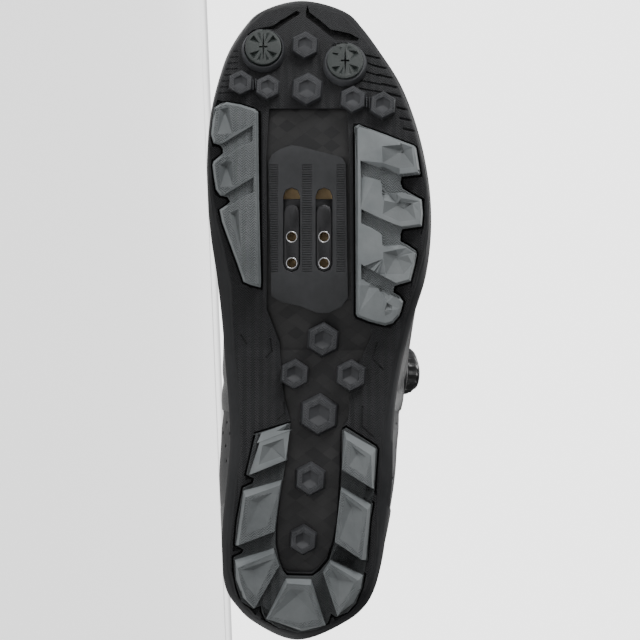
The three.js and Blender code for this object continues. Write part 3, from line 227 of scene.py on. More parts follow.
def joined(pieces, name):
    bpy.ops.object.select_all(action="DESELECT")
    for one in pieces:
        one.select_set(True)
    bpy.context.view_layer.objects.active = pieces[0]
    bpy.ops.object.join()
    whole = bpy.context.object
    whole.name = name
    return whole


def carve(piece, tool, way="DIFFERENCE"):
    change = piece.modifiers.new("carve", "BOOLEAN")
    change.object = tool
    change.operation = way
    change.solver = "MANIFOLD"
    only(piece)
    bpy.ops.object.modifier_apply(modifier=change.name)
    bpy.data.objects.remove(tool)


def merged_copy(node, name):
    """A copy of a CAD node with its doubles merged."""
    piece = bpy.data.objects.new(name, frame["nodes"][node].data.copy())
    piece.data.materials.clear()
    bpy.context.scene.collection.objects.link(piece)
    only(piece)
    bpy.ops.mesh.customdata_custom_splitnormals_clear()
    bpy.ops.object.mode_set(mode="EDIT")
    bpy.ops.mesh.select_all(action="SELECT")
    bpy.ops.mesh.remove_doubles(threshold=0.000005)
    bpy.ops.object.mode_set(mode="OBJECT")
    return piece


def smooth(piece, degrees):
    only(piece)
    bpy.ops.object.shade_smooth_by_angle(angle=math.radians(degrees))


def round_edges(piece, width, segments=2, angle=28, cut_flats=True):
    """Rounds the sharp edges. Faces with many corners are cut up first, so that they don't fold."""
    only(piece)
    bpy.ops.object.mode_set(mode="EDIT")
    bpy.ops.mesh.select_mode(type="FACE")
    bpy.ops.mesh.select_all(action="SELECT")
    bpy.ops.mesh.dissolve_limited(angle_limit=math.radians(0.2))
    bpy.ops.mesh.select_all(action="DESELECT")
    if cut_flats:
        bpy.ops.mesh.select_face_by_sides(number=4, type="GREATER")
        bpy.ops.mesh.quads_convert_to_tris(quad_method="BEAUTY", ngon_method="BEAUTY")
    bpy.ops.object.mode_set(mode="OBJECT")
    edge = piece.modifiers.new("edge", "BEVEL")
    edge.width = width
    edge.segments = segments
    edge.limit_method = "ANGLE"
    edge.angle_limit = math.radians(angle)
    edge.use_clamp_overlap = False
    bpy.ops.object.modifier_apply(modifier=edge.name)
    smooth(piece, angle)


def coat(piece, material):
    piece.data.materials.clear()
    piece.data.materials.append(material)
    for face in piece.data.polygons:
        face.material_index = 0


def finish(name, colour, roughness, gloss=0.3):
    made = bpy.data.materials.new(name)
    made.use_nodes = True
    surface = made.node_tree.nodes["Principled BSDF"]
    surface.inputs["Base Color"].default_value = (*colour, 1)
    surface.inputs["Roughness"].default_value = roughness
    surface.inputs["Specular IOR Level"].default_value = gloss
    return made


def add_node(tree, kind, **inputs):
    made = tree.nodes.new("ShaderNode" + kind)
    for name, value in inputs.items():
        made.inputs[name.replace("_", " ")].default_value = value
    return made


def sum_of(tree, way, a, b=0.0):
    """One step of arithmetic on sockets or numbers."""
    step = tree.nodes.new("ShaderNodeMath")
    step.operation = way
    for socket, value in zip(step.inputs, (a, b)):
        if hasattr(value, "is_linked"):
            tree.links.new(value, socket)
        else:
            socket.default_value = value
    return step.outputs[0]


def shoe_millimetres(tree):
    """Coordinates along the standing shoe, in millimetres."""
    inverse = standing.inverted()
    place = tree.nodes.new("ShaderNodeTexCoord")
    turned = tree.nodes.new("ShaderNodeMapping")
    turned.inputs["Scale"].default_value = (1000, 1000, 1000)
    turned.inputs["Rotation"].default_value = inverse.to_euler()
    turned.inputs["Location"].default_value = inverse.translation * 1000
    tree.links.new(place.outputs["Object"], turned.inputs["Vector"])
    return turned.outputs[0]


def mark_flats(piece, tilt=4.0):
    """Tells the faces that lie along the sole, which carry the tooling, from those that slope."""
    back = standing.inverted()
    flats = piece.data.attributes.new("tooled", "FLOAT", "FACE")
    for face, mark in zip(piece.data.polygons, flats.data):
        x = (back @ face.center).x
        slope = (sole_rise(x + MM) - sole_rise(x - MM)) / (2 * MM)
        tread = (toeward * slope - inward).normalized()
        mark.value = 1.0 if face.normal.dot(tread) > math.cos(math.radians(tilt)) else 0.0


def face_value(tree, name):
    mark = tree.nodes.new("ShaderNodeAttribute")
    mark.attribute_name = name
    return mark.outputs["Fac"]


def tooling(tree, pitch=1.1, zigzag=1.8):
    """Fine chevrons, as heights between -1 and 1."""
    parts = tree.nodes.new("ShaderNodeSeparateXYZ")
    tree.links.new(shoe_millimetres(tree), parts.inputs[0])
    leg = sum_of(tree, "PINGPONG", parts.outputs["Y"], zigzag)
    line = sum_of(tree, "ADD", parts.outputs["X"], leg)
    turns = sum_of(tree, "MULTIPLY", line, 2 * math.pi / pitch)
    return sum_of(tree, "SINE", turns)


def mottled(tree, colour, other, scale, socket):
    """Mixes two close colours in soft clouds over the surface."""
    noise = add_node(tree, "TexNoise", Scale=scale, Detail=5.0, Roughness=0.6)
    place = tree.nodes.new("ShaderNodeTexCoord")
    tree.links.new(place.outputs["Object"], noise.inputs["Vector"])
    ramp = tree.nodes.new("ShaderNodeValToRGB")
    ramp.color_ramp.elements[0].position = 0.35
    ramp.color_ramp.elements[1].position = 0.7
    ramp.color_ramp.elements[0].color = (*colour, 1)
    ramp.color_ramp.elements[1].color = (*other, 1)
    tree.links.new(noise.outputs["Fac"], ramp.inputs["Fac"])
    if socket:
        tree.links.new(ramp.outputs["Color"], socket)
    return noise, ramp


def relief(tree, height, depth, strength=1.0):
    bump = tree.nodes.new("ShaderNodeBump")
    bump.inputs["Strength"].default_value = strength
    bump.inputs["Distance"].default_value = depth
    tree.links.new(height, bump.inputs["Height"])
    tree.links.new(bump.outputs["Normal"], tree.nodes["Principled BSDF"].inputs["Normal"])
    return bump


def tooled_rubber(name, colour, other, roughness, depth):
    made = finish(name, colour, roughness, 0.16)
    tree = made.node_tree
    surface = tree.nodes["Principled BSDF"]
    noise, ramp = mottled(tree, colour, other, 60.0, None)
    # The face's tone, which carries painted light and shade, scales the colour.
    toned = tree.nodes.new("ShaderNodeVectorMath")
    toned.operation = "SCALE"
    tree.links.new(ramp.outputs["Color"], toned.inputs[0])
    tree.links.new(face_value(tree, "tone_and_shade"), toned.inputs["Scale"])
    tree.links.new(toned.outputs[0], surface.inputs["Base Color"])
    height = sum_of(tree, "MULTIPLY", tooling(tree), face_value(tree, "tooled"))
    fine = add_node(tree, "TexNoise", Scale=1500.0, Detail=3.0)
    place = tree.nodes.new("ShaderNodeTexCoord")
    tree.links.new(place.outputs["Object"], fine.inputs["Vector"])
    grain = sum_of(tree, "MULTIPLY", fine.outputs["Fac"], 0.35)
    relief(tree, sum_of(tree, "ADD", height, grain), depth)
    worn = tree.nodes.new("ShaderNodeMapRange")
    worn.inputs["To Min"].default_value = roughness - 0.08
    worn.inputs["To Max"].default_value = roughness + 0.1
    tree.links.new(noise.outputs["Fac"], worn.inputs["Value"])
    tree.links.new(worn.outputs["Result"], surface.inputs["Roughness"])
    return made


black_rubber = tooled_rubber("black_rubber", (0.008, 0.0083, 0.009), (0.0135, 0.0139, 0.015), 0.6, 0.0001)


def groove(corners, width, low, high):
    """Narrow cutters along a drawn line, one to each straight stretch."""
    made = []
    points = [Vector(p) for p in seen(corners)]
    for a, b in zip(points, points[1:]):
        side = (b - a).normalized().orthogonal() * width / 2
        along = (b - a).normalized() * width / 2
        ends = [a - side - along, a + side - along, b + side + along, b - side + along]
        made.append(slab("groove", [(p.x, p.y) for p in ends], low, high))
    return made


def grown(outline, distance):
    """The outline with every side moved outwards."""
    points = [Vector(p) for p in outline]
    area = sum(a.x * b.y - b.x * a.y for a, b in zip(points, points[1:] + points[:1]))
    turn_way = 1 if area > 0 else -1
    moved = []
    for before, here, after in zip(points[-1:] + points[:-1], points, points[1:] + points[:1]):
        first_side = (here - before).normalized()
        next_side = (after - here).normalized()
        sideways = Vector((first_side.y + next_side.y, -first_side.x - next_side.x)) * turn_way
        sideways.normalize()
        stretch = max((sideways.x * first_side.y - sideways.y * first_side.x) * turn_way, 0.55)
        moved.append(tuple(here + sideways * distance / stretch))
    return moved


def inside(outline, x, y):
    """Whether a place lies within an outline."""
    hits = 0
    for (ax, ay), (bx, by) in zip(outline, outline[1:] + outline[:1]):
        hits += (ay > y) != (by > y) and x < ax + (bx - ax) * (y - ay) / (by - ay)
    return hits % 2 == 1


def mark_tones(piece, tone_of):
    """Gives each face a tone of its own, painted light and shade among it, from its place, its level in mm and how
    squarely it is seen.
    """
    back = standing.inverted()
    tones = piece.data.attributes.new("tone_and_shade", "FLOAT", "FACE")
    for face, tone_and_shade in zip(piece.data.polygons, tones.data):
        place = back @ face.center
        tone_and_shade.value = tone_of(place, (place.z - sole_rise(place.x)) / MM, -face.normal.dot(inward))


# Seats of the tread pads and cuts of the toe, as seen in the photograph.
INNER_PAD = [
    (216, 113), (222, 109), (228, 107.5), (242, 110), (256, 114.5), (259, 117.5), (260, 200),
    (262, 285), (261.5, 290), (252, 287.5), (245, 284.5), (243.5, 280), (239, 267), (233.5, 252),
    (228, 237), (224, 226), (221.5, 214), (228, 209.5), (232, 206), (229, 201), (222, 199.5),
    (218, 194), (216, 182), (214.5, 170), (215.5, 166.5), (222, 161), (225, 158), (224.5, 153.5),
    (222, 150), (215.5, 148), (213, 140), (214.5, 125),
]
OUTER_PAD = [
    (354.5, 132), (358, 130), (370, 134.5), (385, 140), (400, 146), (412, 150.5), (414.5, 153),
    (416, 163), (418, 175), (418.5, 179), (400, 181), (399, 187), (401, 193), (410, 198.5),
    (420, 204), (421, 218), (420, 230), (401, 232.5), (399, 238), (399, 245), (405, 248),
    (414, 254), (415, 258), (413, 268), (409, 284), (393, 288.5), (392, 295), (398, 298.5),
    (402, 304), (400, 312), (398, 318), (392, 325), (384, 327.5), (370, 324), (357, 319),
    (355.5, 316),
]
HEEL_PAD = [
    (291, 424), (286.5, 461), (284.6, 473), (276.6, 520), (276.2, 543), (279.2, 558),
    (283.4, 569), (287.3, 573.6), (312.5, 574.3), (320.2, 569), (329.3, 558), (334.8, 539),
    (338.3, 520), (340.5, 488), (341.7, 468), (341.7, 431), (345.9, 428.3), (375, 446.7),
    (376.5, 449.7), (373.4, 489.5), (365, 490.7), (364.3, 495.6), (371.9, 502.5), (371.2, 507),
    (368.9, 520), (365.8, 558.3), (354.3, 559), (353.6, 564.4), (363.5, 572.8), (361.2, 585),
    (355, 601), (347.4, 609.5), (336, 614.5), (331, 611), (327.8, 620.2), (317, 627),
    (298, 629.8), (278.9, 624.8), (266.6, 617.2), (262.8, 609.5), (262, 603), (254.4, 606.5),
    (242.9, 598.8), (238.3, 585), (235.6, 569), (235.2, 555.6), (242.9, 552), (245.4, 548),
    (236.4, 543), (238.3, 520), (244.4, 487.2), (253.6, 483), (255.5, 478), (247.5, 474.2),
    (256.7, 434.4),
]
TOE_SLIT = [
    (248.1, 38), (253.6, 33.6), (273.1, 30.5), (280.9, 23.4), (297.3, 14.4), (298.8, 16.6), (285, 26.2),
    (274.9, 33.4), (264, 35.3), (255.2, 36.8), (248.9, 38.8),
]
TOE_STEP = [
    (307.5, 7.8), (309, 14.8), (320, 23.4), (330.2, 32.8), (349.7, 37.2), (358.3, 42.2), (356.7, 44.1),
    (335.6, 43), (329.4, 38.3), (318.4, 28.9), (306.7, 19.5), (306.3, 14.8),
]
PAD_GAP = 0.95 * MM
SEAT_FLOOR = 2.4 * MM
sunk = [grown(seen(pad), PAD_GAP) for pad in (INNER_PAD, OUTER_PAD, HEEL_PAD)]
sunk += [grown(seen(cut), 0.2 * MM) for cut in (TOE_SLIT, TOE_STEP)]
FILLED = [  # rubber between the lugs of the pads, and beside the step at the toe
    [(304, 12), (318, 20), (330, 30), (352, 35), (362, 42), (352, 48), (330, 47), (314, 38), (303, 24)],
    [(211.5, 150.5), (220.5, 152.3), (222.3, 154.3), (222.6, 157), (220.5, 159.2), (212, 165)],
    [(216, 198), (221.5, 201.8), (227.8, 203), (229.2, 205.6), (226.8, 208), (220, 212.4), (217.5, 212)],
    [(421.5, 181), (402, 183.2), (401.2, 186.8), (402.8, 191.3), (411, 196.4), (421.5, 202)],
    [(419.5, 232.3), (402.5, 234.6), (401.2, 238.3), (401.2, 243.6), (406, 246), (416.5, 252.8)],
    [(410, 286), (395, 290.3), (394.4, 293.8), (399.5, 297), (404.5, 303.5)],
]


def frame_tone_and_shade(place, level, facing):
    """Painted shade, dark in the seats and cuts; lighter on the lugs that stand proud."""
    if level < -1.6:
        return 2.3
    # Painted shade in the sunk seats and cuts.
    if level > 0.3 and any(inside(outline, place.x, place.y) for outline in sunk):
        return 0.25
    return 0.85


rubber_frame = merged_copy("outsole_frame", "rubber_frame")
round_edges(rubber_frame, 0.22 * MM)
for patch in FILLED:
    carve(rubber_frame, lay_on_sole(slab("fill", seen(patch), -0.05 * MM, SEAT_FLOOR)), "UNION")
for outline in sunk:
    carve(rubber_frame, lay_on_sole(slab("seat", outline, -0.4 * MM, SEAT_FLOOR)))
marks = []
for line in (
    [(242, 337), (247, 345)],
    [(271, 341), (272.5, 353), (267, 359)],
    [(284.5, 404), (285, 415), (279, 420)],
    [(376.5, 345), (372, 360), (382, 371)],
    [(362, 408), (361, 427), (372, 437)],
):
    marks += groove(line, 0.8 * MM, -0.5 * MM, 0.5 * MM)
for row in range(8):
    height = 56 + 6 * row
    marks += groove([(219 - row * 0.6, height), (238, height - 1)], 0.5 * MM, -0.5 * MM, 0.4 * MM)
for rib in (
    [(361, 57), (369, 61)], [(364, 66), (373, 69.5)], [(362, 75), (378, 80)], [(360, 85), (383, 89.5)],
    [(359, 93), (387, 98)],
):
    marks += groove(rib, 0.8 * MM, -0.5 * MM, 0.7 * MM)
for one in marks:
    carve(rubber_frame, lay_on_sole(one))
smooth(rubber_frame, 28)
mark_flats(rubber_frame)
# The tones paint shade into the frame's seats and cuts.
mark_tones(rubber_frame, frame_tone_and_shade)
coat(rubber_frame, black_rubber)
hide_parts("outsole_frame")
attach(rubber_frame, SHOE)

bars = []
for x, low_y, high_y in ((254, 85, 94), (256.6, 84, 93), (366, 102.5, 111.5), (368.8, 103, 112)):
    bars.append(lay_on_sole(groove([(x, low_y), (x, high_y)], 0.5 * MM, -2.6 * MM, 0.4 * MM)[0]))
links = joined(bars, "lug_links")
mark_flats(links)
mark_tones(links, lambda place, level, facing: 2.3)
coat(links, black_rubber)
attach(links, SHOE)


# Hexagonal lugs on the plate: four black rubber buttons down the arch and the heel, moulded through
# the plate and bonded to it, each with a corner-shaped hollow of three facets in its face.
for node in ("hex_lug_arch_front", "hex_lug_arch_rear", "hex_lug_heel_front", "hex_lug_heel_rear"):
    button = merged_copy(node, "button_" + node[8:])
    round_edges(button, 0.25 * MM)
    mark_flats(button)
    mark_tones(button, lambda place, level, facing: 2.3)
    coat(button, black_rubber)
    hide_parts(node)
    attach(button, SHOE)


# Plate: a stiff nylon sheet filled with short fibre, moulded to the last and seen through the window
# in the rubber. Its face is broken into low lozenge facets, tilted by bump, each painted lighter or darker as
# painted light.
plate_shine = finish("faceted_nylon", (0.012, 0.012, 0.0125), 0.4, 0.2)
tree = plate_shine.node_tree
parts = tree.nodes.new("ShaderNodeSeparateXYZ")
tree.links.new(shoe_millimetres(tree), parts.inputs[0])
slant = sum_of(tree, "MULTIPLY", parts.outputs["Y"], 0.75)
LOZENGE = 5.8
first = sum_of(tree, "DIVIDE", sum_of(tree, "ADD", parts.outputs["X"], slant), LOZENGE)
second = sum_of(tree, "DIVIDE", sum_of(tree, "SUBTRACT", parts.outputs["X"], slant), LOZENGE)
cell = tree.nodes.new("ShaderNodeCombineXYZ")
tree.links.new(sum_of(tree, "FLOOR", first), cell.inputs["X"])
tree.links.new(sum_of(tree, "FLOOR", second), cell.inputs["Y"])
chance = tree.nodes.new("ShaderNodeTexWhiteNoise")
chance.noise_dimensions = "3D"
tree.links.new(cell.outputs[0], chance.inputs["Vector"])
# Painted light: each lozenge's colour is a little lighter or darker, for the light its facet would catch.
tone_and_shade = tree.nodes.new("ShaderNodeValToRGB")
tone_and_shade.color_ramp.elements[0].color = (0.006, 0.006, 0.0065, 1)
tone_and_shade.color_ramp.elements[1].color = (0.0125, 0.0123, 0.0125, 1)
tree.links.new(chance.outputs["Value"], tone_and_shade.inputs["Fac"])
tree.links.new(tone_and_shade.outputs["Color"], tree.nodes["Principled BSDF"].inputs["Base Color"])
across = sum_of(tree, "MULTIPLY", sum_of(tree, "FRACT", first), chance.outputs["Value"])
along = sum_of(tree, "MULTIPLY", sum_of(tree, "FRACT", second), 0.6)
relief(tree, sum_of(tree, "ADD", across, along), 0.0004, 0.7)
plate = merged_copy("midsole_plate", "fibre_plate")
bpy.ops.object.shade_flat()
coat(plate, plate_shine)
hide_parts("midsole_plate")
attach(plate, SHOE)


# Cleat bed: a smooth dark cover of nylon let into the window under the ball of the foot. Three columns
# of engraved lines a millimetre apart help to set the cleat, and two long slots show the nut.
satin_nylon = finish("satin_nylon", (0.015, 0.0155, 0.0165), 0.5, 0.2)
tree = satin_nylon.node_tree
mottled(
    tree, (0.012, 0.0125, 0.0135), (0.019, 0.0195, 0.021), 90.0,
    tree.nodes["Principled BSDF"].inputs["Base Color"],
)
scuff = add_node(tree, "TexNoise", Scale=900.0, Detail=4.0)
relief(tree, scuff.outputs["Fac"], 0.00006, 0.6)
bed = merged_copy("cleat_bed", "cleat_cover")
SCALE_PITCH = 2.33
BED_FACE = 0.6 * MM
engraving = []
for left, right in ((269.5, 279), (302, 312.5), (336, 345.5)):
    for step in range(46):
        height = 169.5 + step * SCALE_PITCH
        line = [(left + 1, height), (right - 1, height)]
        engraving += groove(line, 0.42 * MM, 0.1 * MM, BED_FACE + 0.4 * MM)
for one in engraving:
    lay_on_sole(one)
carve(bed, joined(engraving, "engraving"))
round_edges(bed, 0.12 * MM, segments=1)
coat(bed, satin_nylon)
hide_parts("cleat_bed")
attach(bed, SHOE)


# Cleat nut: a black steel strip with two bosses that stand in the slots, each drilled and tapped
# twice. It slides along the slots. The threads are bare metal and shine round each hole.
black_steel = finish("black_steel", (0.02, 0.02, 0.021), 0.34)
black_steel.node_tree.nodes["Principled BSDF"].inputs["Metallic"].default_value = 0.85
tree = black_steel.node_tree
mill = add_node(tree, "TexNoise", Scale=700.0, Detail=2.0)
relief(tree, mill.outputs["Fac"], 0.00008, 0.5)
nut = merged_copy("cleat_nut", "slide_nut")
round_edges(nut, 0.18 * MM)
coat(nut, black_steel)
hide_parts("cleat_nut")
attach(nut, "nut")

bare_steel = finish("bare_steel", (0.42, 0.42, 0.43), 0.28)
bare_steel.node_tree.nodes["Principled BSDF"].inputs["Metallic"].default_value = 1.0
tree = bare_steel.node_tree
turning = add_node(tree, "TexNoise", Scale=2200.0, Detail=2.0)
relief(tree, turning.outputs["Fac"], 0.00005, 0.5)
SLOT_REAR = 0.636 * LENGTH - 0.0183
HOLE_SPACING = 11.4 * MM
threads = []
for row in (-7 * MM, 7 * MM):
    for step in range(2):
        centre = (SLOT_REAR + 0.3 * MM + 3.6 * MM + step * HOLE_SPACING, 0.014 * BALL_WIDTH + row)
        for turn_of_thread in range(6):
            bpy.ops.object.select_all(action="DESELECT")
            bpy.ops.mesh.primitive_torus_add(
                major_segments=40, minor_segments=8, major_radius=2.28 * MM, minor_radius=0.2 * MM,
                location=(*centre, 1.45 * MM + turn_of_thread * 0.7 * MM),
            )
            ring = bpy.context.object
            bpy.ops.object.transform_apply(location=True, rotation=True, scale=True)
            threads.append(lay_on_sole(ring))
thread_rings = joined(threads, "nut_threads")
bpy.ops.object.shade_smooth()
coat(thread_rings, bare_steel)
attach(thread_rings, "nut")


# Footbed on its board: a thin tan fibre board that shows through the front of the cleat slots, with
# a dark knitted cover on top that shows inside the collar.
board_cover = finish("board_and_cover", (0.36, 0.27, 0.15), 0.9)
tree = board_cover.node_tree
fibres = add_node(tree, "TexNoise", Scale=400.0, Detail=6.0, Roughness=0.7)
tan = tree.nodes.new("ShaderNodeValToRGB")
tan.color_ramp.elements[0].color = (0.22, 0.15, 0.08, 1)
tan.color_ramp.elements[1].color = (0.44, 0.33, 0.19, 1)
tree.links.new(fibres.outputs["Fac"], tan.inputs["Fac"])
choose = tree.nodes.new("ShaderNodeMix")
choose.data_type = "RGBA"
choose.inputs["A"].default_value = (0.02, 0.021, 0.023, 1)
below = tree.nodes.new("ShaderNodeVectorMath")
below.operation = "DOT_PRODUCT"
below.inputs[1].default_value = -inward
tree.links.new(tree.nodes.new("ShaderNodeNewGeometry").outputs["Normal"], below.inputs[0])
tree.links.new(sum_of(tree, "GREATER_THAN", below.outputs["Value"], 0.5), choose.inputs["Factor"])
tree.links.new(tan.outputs["Color"], choose.inputs["B"])
tree.links.new(choose.outputs["Result"], tree.nodes["Principled BSDF"].inputs["Base Color"])
knit = add_node(tree, "TexVoronoi", Scale=900.0)
relief(tree, knit.outputs["Distance"], 0.0003, 0.8)
footbed = merged_copy("insole", "footbed")
round_edges(footbed, 0.5 * MM)
coat(footbed, board_cover)
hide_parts("insole")
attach(footbed, SHOE)


# Toe plugs: two tapered discs of grey-green plastic screwed into the toe to keep the spike threads
# clean. Each has a long cross slot for a key and four three-cornered pits between its arms.
plug_plastic = finish("plug_plastic", (0.012, 0.0155, 0.0145), 0.5, 0.25)
tree = plug_plastic.node_tree
mottled(
    tree, (0.008, 0.0105, 0.0098), (0.013, 0.0165, 0.0155), 160.0,
    tree.nodes["Principled BSDF"].inputs["Base Color"],
)
pores = add_node(tree, "TexNoise", Scale=1300.0, Detail=2.0)
relief(tree, pores.outputs["Fac"], 0.00008, 0.6)
PLUG_FACE = -6 * MM
PLUG_LEAN = 1.5 * MM  # the toe spring leans the plugs towards the toe
for node, (at, side) in (
    ("toe_stud_medial", (0.915, -0.186)),
    ("toe_stud_lateral", (0.893, 0.181)),
):
    x, y = at * LENGTH, side * BALL_WIDTH

    def round_outline(radius, lean=0.0):
        turns = [i * math.pi / 36 for i in range(72)]
        return [(x + lean + radius * math.cos(t), y + radius * math.sin(t)) for t in turns]

    ring = slab("plug_ring", round_outline(8.7 * MM, MM), -4.4 * MM, -1.0 * MM, round_outline(9.75 * MM))
    hole = slab("hole", round_outline(8.25 * MM, 1.3 * MM), -5 * MM, 0, round_outline(8.45 * MM, 0.2 * MM))
    carve(ring, hole)
    round_edges(ring, 0.12 * MM, cut_flats=False)
    ring.name = "ring_" + node[9:]
    lay_on_sole(ring)
    mark_flats(ring)
    mark_tones(ring, lambda place, level, facing: 3.0)
    coat(ring, black_rubber)
    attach(ring, SHOE)

    plug = slab(
        "plug_" + node[9:], round_outline(7.9 * MM, PLUG_LEAN), PLUG_FACE, 1.2 * MM, round_outline(8.15 * MM)
    )
    middle = x + PLUG_LEAN
    tools = []
    for key in (
        [(6.6, 0), (0, 0.45), (-6.6, 0), (0, -0.45)], [(0.35, -1.8), (0.35, 1.8), (-0.35, 1.8), (-0.35, -1.8)]
    ):
        spots = [(middle + a * MM, y + b * MM) for a, b in key]
        tools.append(slab("key_slot", spots, PLUG_FACE - MM, PLUG_FACE + 1.9 * MM))
    for sx in (-1, 1):
        for sy in (-1, 1):
            spots = [(1.5, 1.5), (2.9, 6.0), (5.3, 4.2)]
            pit = [(middle + sx * a * MM, y + sy * b * MM) for a, b in spots]
            apex = (middle + sx * 3.6 * MM, y + sy * 4.3 * MM)
            tools.append(hollow("key_pit", pit, PLUG_FACE, apex, 1.5 * MM))
            fan = [(2.0, 0.6), (6.6, 1.5), (6.2, 2.9)]
            pit = [(middle + sx * a * MM, y + sy * b * MM) for a, b in fan]
            apex = (middle + sx * 5.4 * MM, y + sy * 1.8 * MM)
            tools.append(hollow("key_fan", pit, PLUG_FACE, apex, 0.5 * MM))
    round_edges(plug, 0.4 * MM, segments=3)
    for tool in tools:
        carve(plug, tool)
    lay_on_sole(plug)
    smooth(plug, 24)
    coat(plug, plug_plastic)
    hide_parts(node)
    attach(plug, SHOE)


# Tread pads: two blocks of tough grey rubber beside the cleat and a horseshoe under the heel, moulded
# apart and bonded into seats in the frame. Sloped sides, channels between the lugs, faceted pits, and
# the same chevron tooling on the flats only.
grey_rubber = tooled_rubber("grey_rubber", (0.058, 0.063, 0.065), (0.083, 0.089, 0.091), 0.55, 0.00015)
PAD_FACE = -6.5 * MM
PAD_SEAT = 2.2 * MM
CHANNEL_FLOOR = -4.0 * MM
PIT_DEPTH = 1.35 * MM
HEEL_CHANNEL = -2.2 * MM
horseshoe = slab("pad_heel", seen(HEEL_PAD), HEEL_CHANNEL, PAD_SEAT)


def side_pad(name, node, outline, channels, pits):
    """One block with sloped sides, cut by its channels and pits."""
    foot = seen(outline)
    pad = slab(name, grown(foot, -0.95 * MM), PAD_FACE, -4.2 * MM, grown(foot, -0.1 * MM))
    carve(pad, slab("pad_foot", foot, -4.3 * MM, PAD_SEAT), "UNION")
    for channel in channels:
        carve(pad, slab("channel", seen(channel), PAD_FACE - MM, CHANNEL_FLOOR))
    for pit, apex, depth in pits:
        carve(pad, hollow("pit", seen(pit), PAD_FACE, seen([apex])[0], depth * PIT_DEPTH))
    finish_pad(pad, node, [seen(pit) for pit, _, _ in pits], 0)


def finish_pad(pad, node, pits, shade_level):
    """Rounds a pad, and tones it: painted shade on what lies lower than a level in mm, painted light on its
    slopes, its pits left plain.
    """

    def pad_light_and_shade(place, level, facing):
        # Painted shade: what lies lower than the level is darker.
        if level > shade_level:
            return 0.4
        if any(inside(pit, place.x, place.y) for pit in pits):
            return 1.0
        # Painted light: the slopes are lighter than the flats.
        return 1.0 if facing > 0.8 else 1.4

    round_edges(pad, 0.2 * MM, cut_flats=False)
    lay_on_sole(pad)
    smooth(pad, 12)
    mark_flats(pad)
    mark_tones(pad, pad_light_and_shade)
    coat(pad, grey_rubber)
    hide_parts(node)
    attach(pad, SHOE)


side_pad(
    "pad_inner", "tread_pad_medial", INNER_PAD,
    [
        [
            (254, 131), (254, 147), (240, 153), (234, 158), (230, 161), (222, 162), (218, 156),
            (221, 149.5), (226, 148),
        ],
        [(255, 182), (255, 197), (245, 201), (238, 206), (232, 210), (225, 210), (222, 203), (228, 198.5)],
    ],
    [
        ([(221.5, 114.5), (231, 113), (233.5, 137), (219.5, 138)], (227, 118), 1.7),
        ([(222, 170), (229, 166), (234.5, 167), (234.5, 190), (222.5, 190)], (228.5, 171.5), 1.9),
        ([(231.5, 217), (240.5, 213), (243.5, 258)], (236.5, 219.5), 1.6),
    ],
)
side_pad(
    "pad_outer", "tread_pad_lateral", OUTER_PAD,
    [
        [
            (360, 166), (380, 173), (398, 179), (424, 178), (425, 205), (410, 200), (400, 197),
            (381, 199.5), (381, 190), (379, 185.5), (360, 179.5),
        ],
        [
            (360.5, 213.5), (375, 220.5), (390, 227.5), (402, 231), (426, 230), (420, 258),
            (414.5, 257.5), (405, 251), (398, 248.5), (381, 249), (381, 240), (379, 237),
            (370, 231.5), (360.5, 227.5),
        ],
        [
            (360.5, 267.5), (370, 272.5), (380, 278), (390, 283.5), (398, 287.5), (416, 284),
            (412, 296), (404, 299), (397, 301.5), (380, 292.5), (360.5, 282),
        ],
    ],
    [
        ([(382, 151.5), (398, 150.5), (410, 155.5), (412.5, 172), (398, 173.5), (381.5, 168)], (400, 155.5), 1.9),
        ([(383, 205), (400, 202.5), (414, 208), (414, 223.5), (398, 225.5), (381.5, 218)], (399, 208), 1.9),
        ([(383, 255.5), (394, 253.5), (406, 258.5), (402, 277), (385, 277), (382, 262)], (395, 259), 1.8),
        ([(384, 302), (392, 308), (390, 315), (384, 318)], (387.5, 308), 1.4),
    ],
)

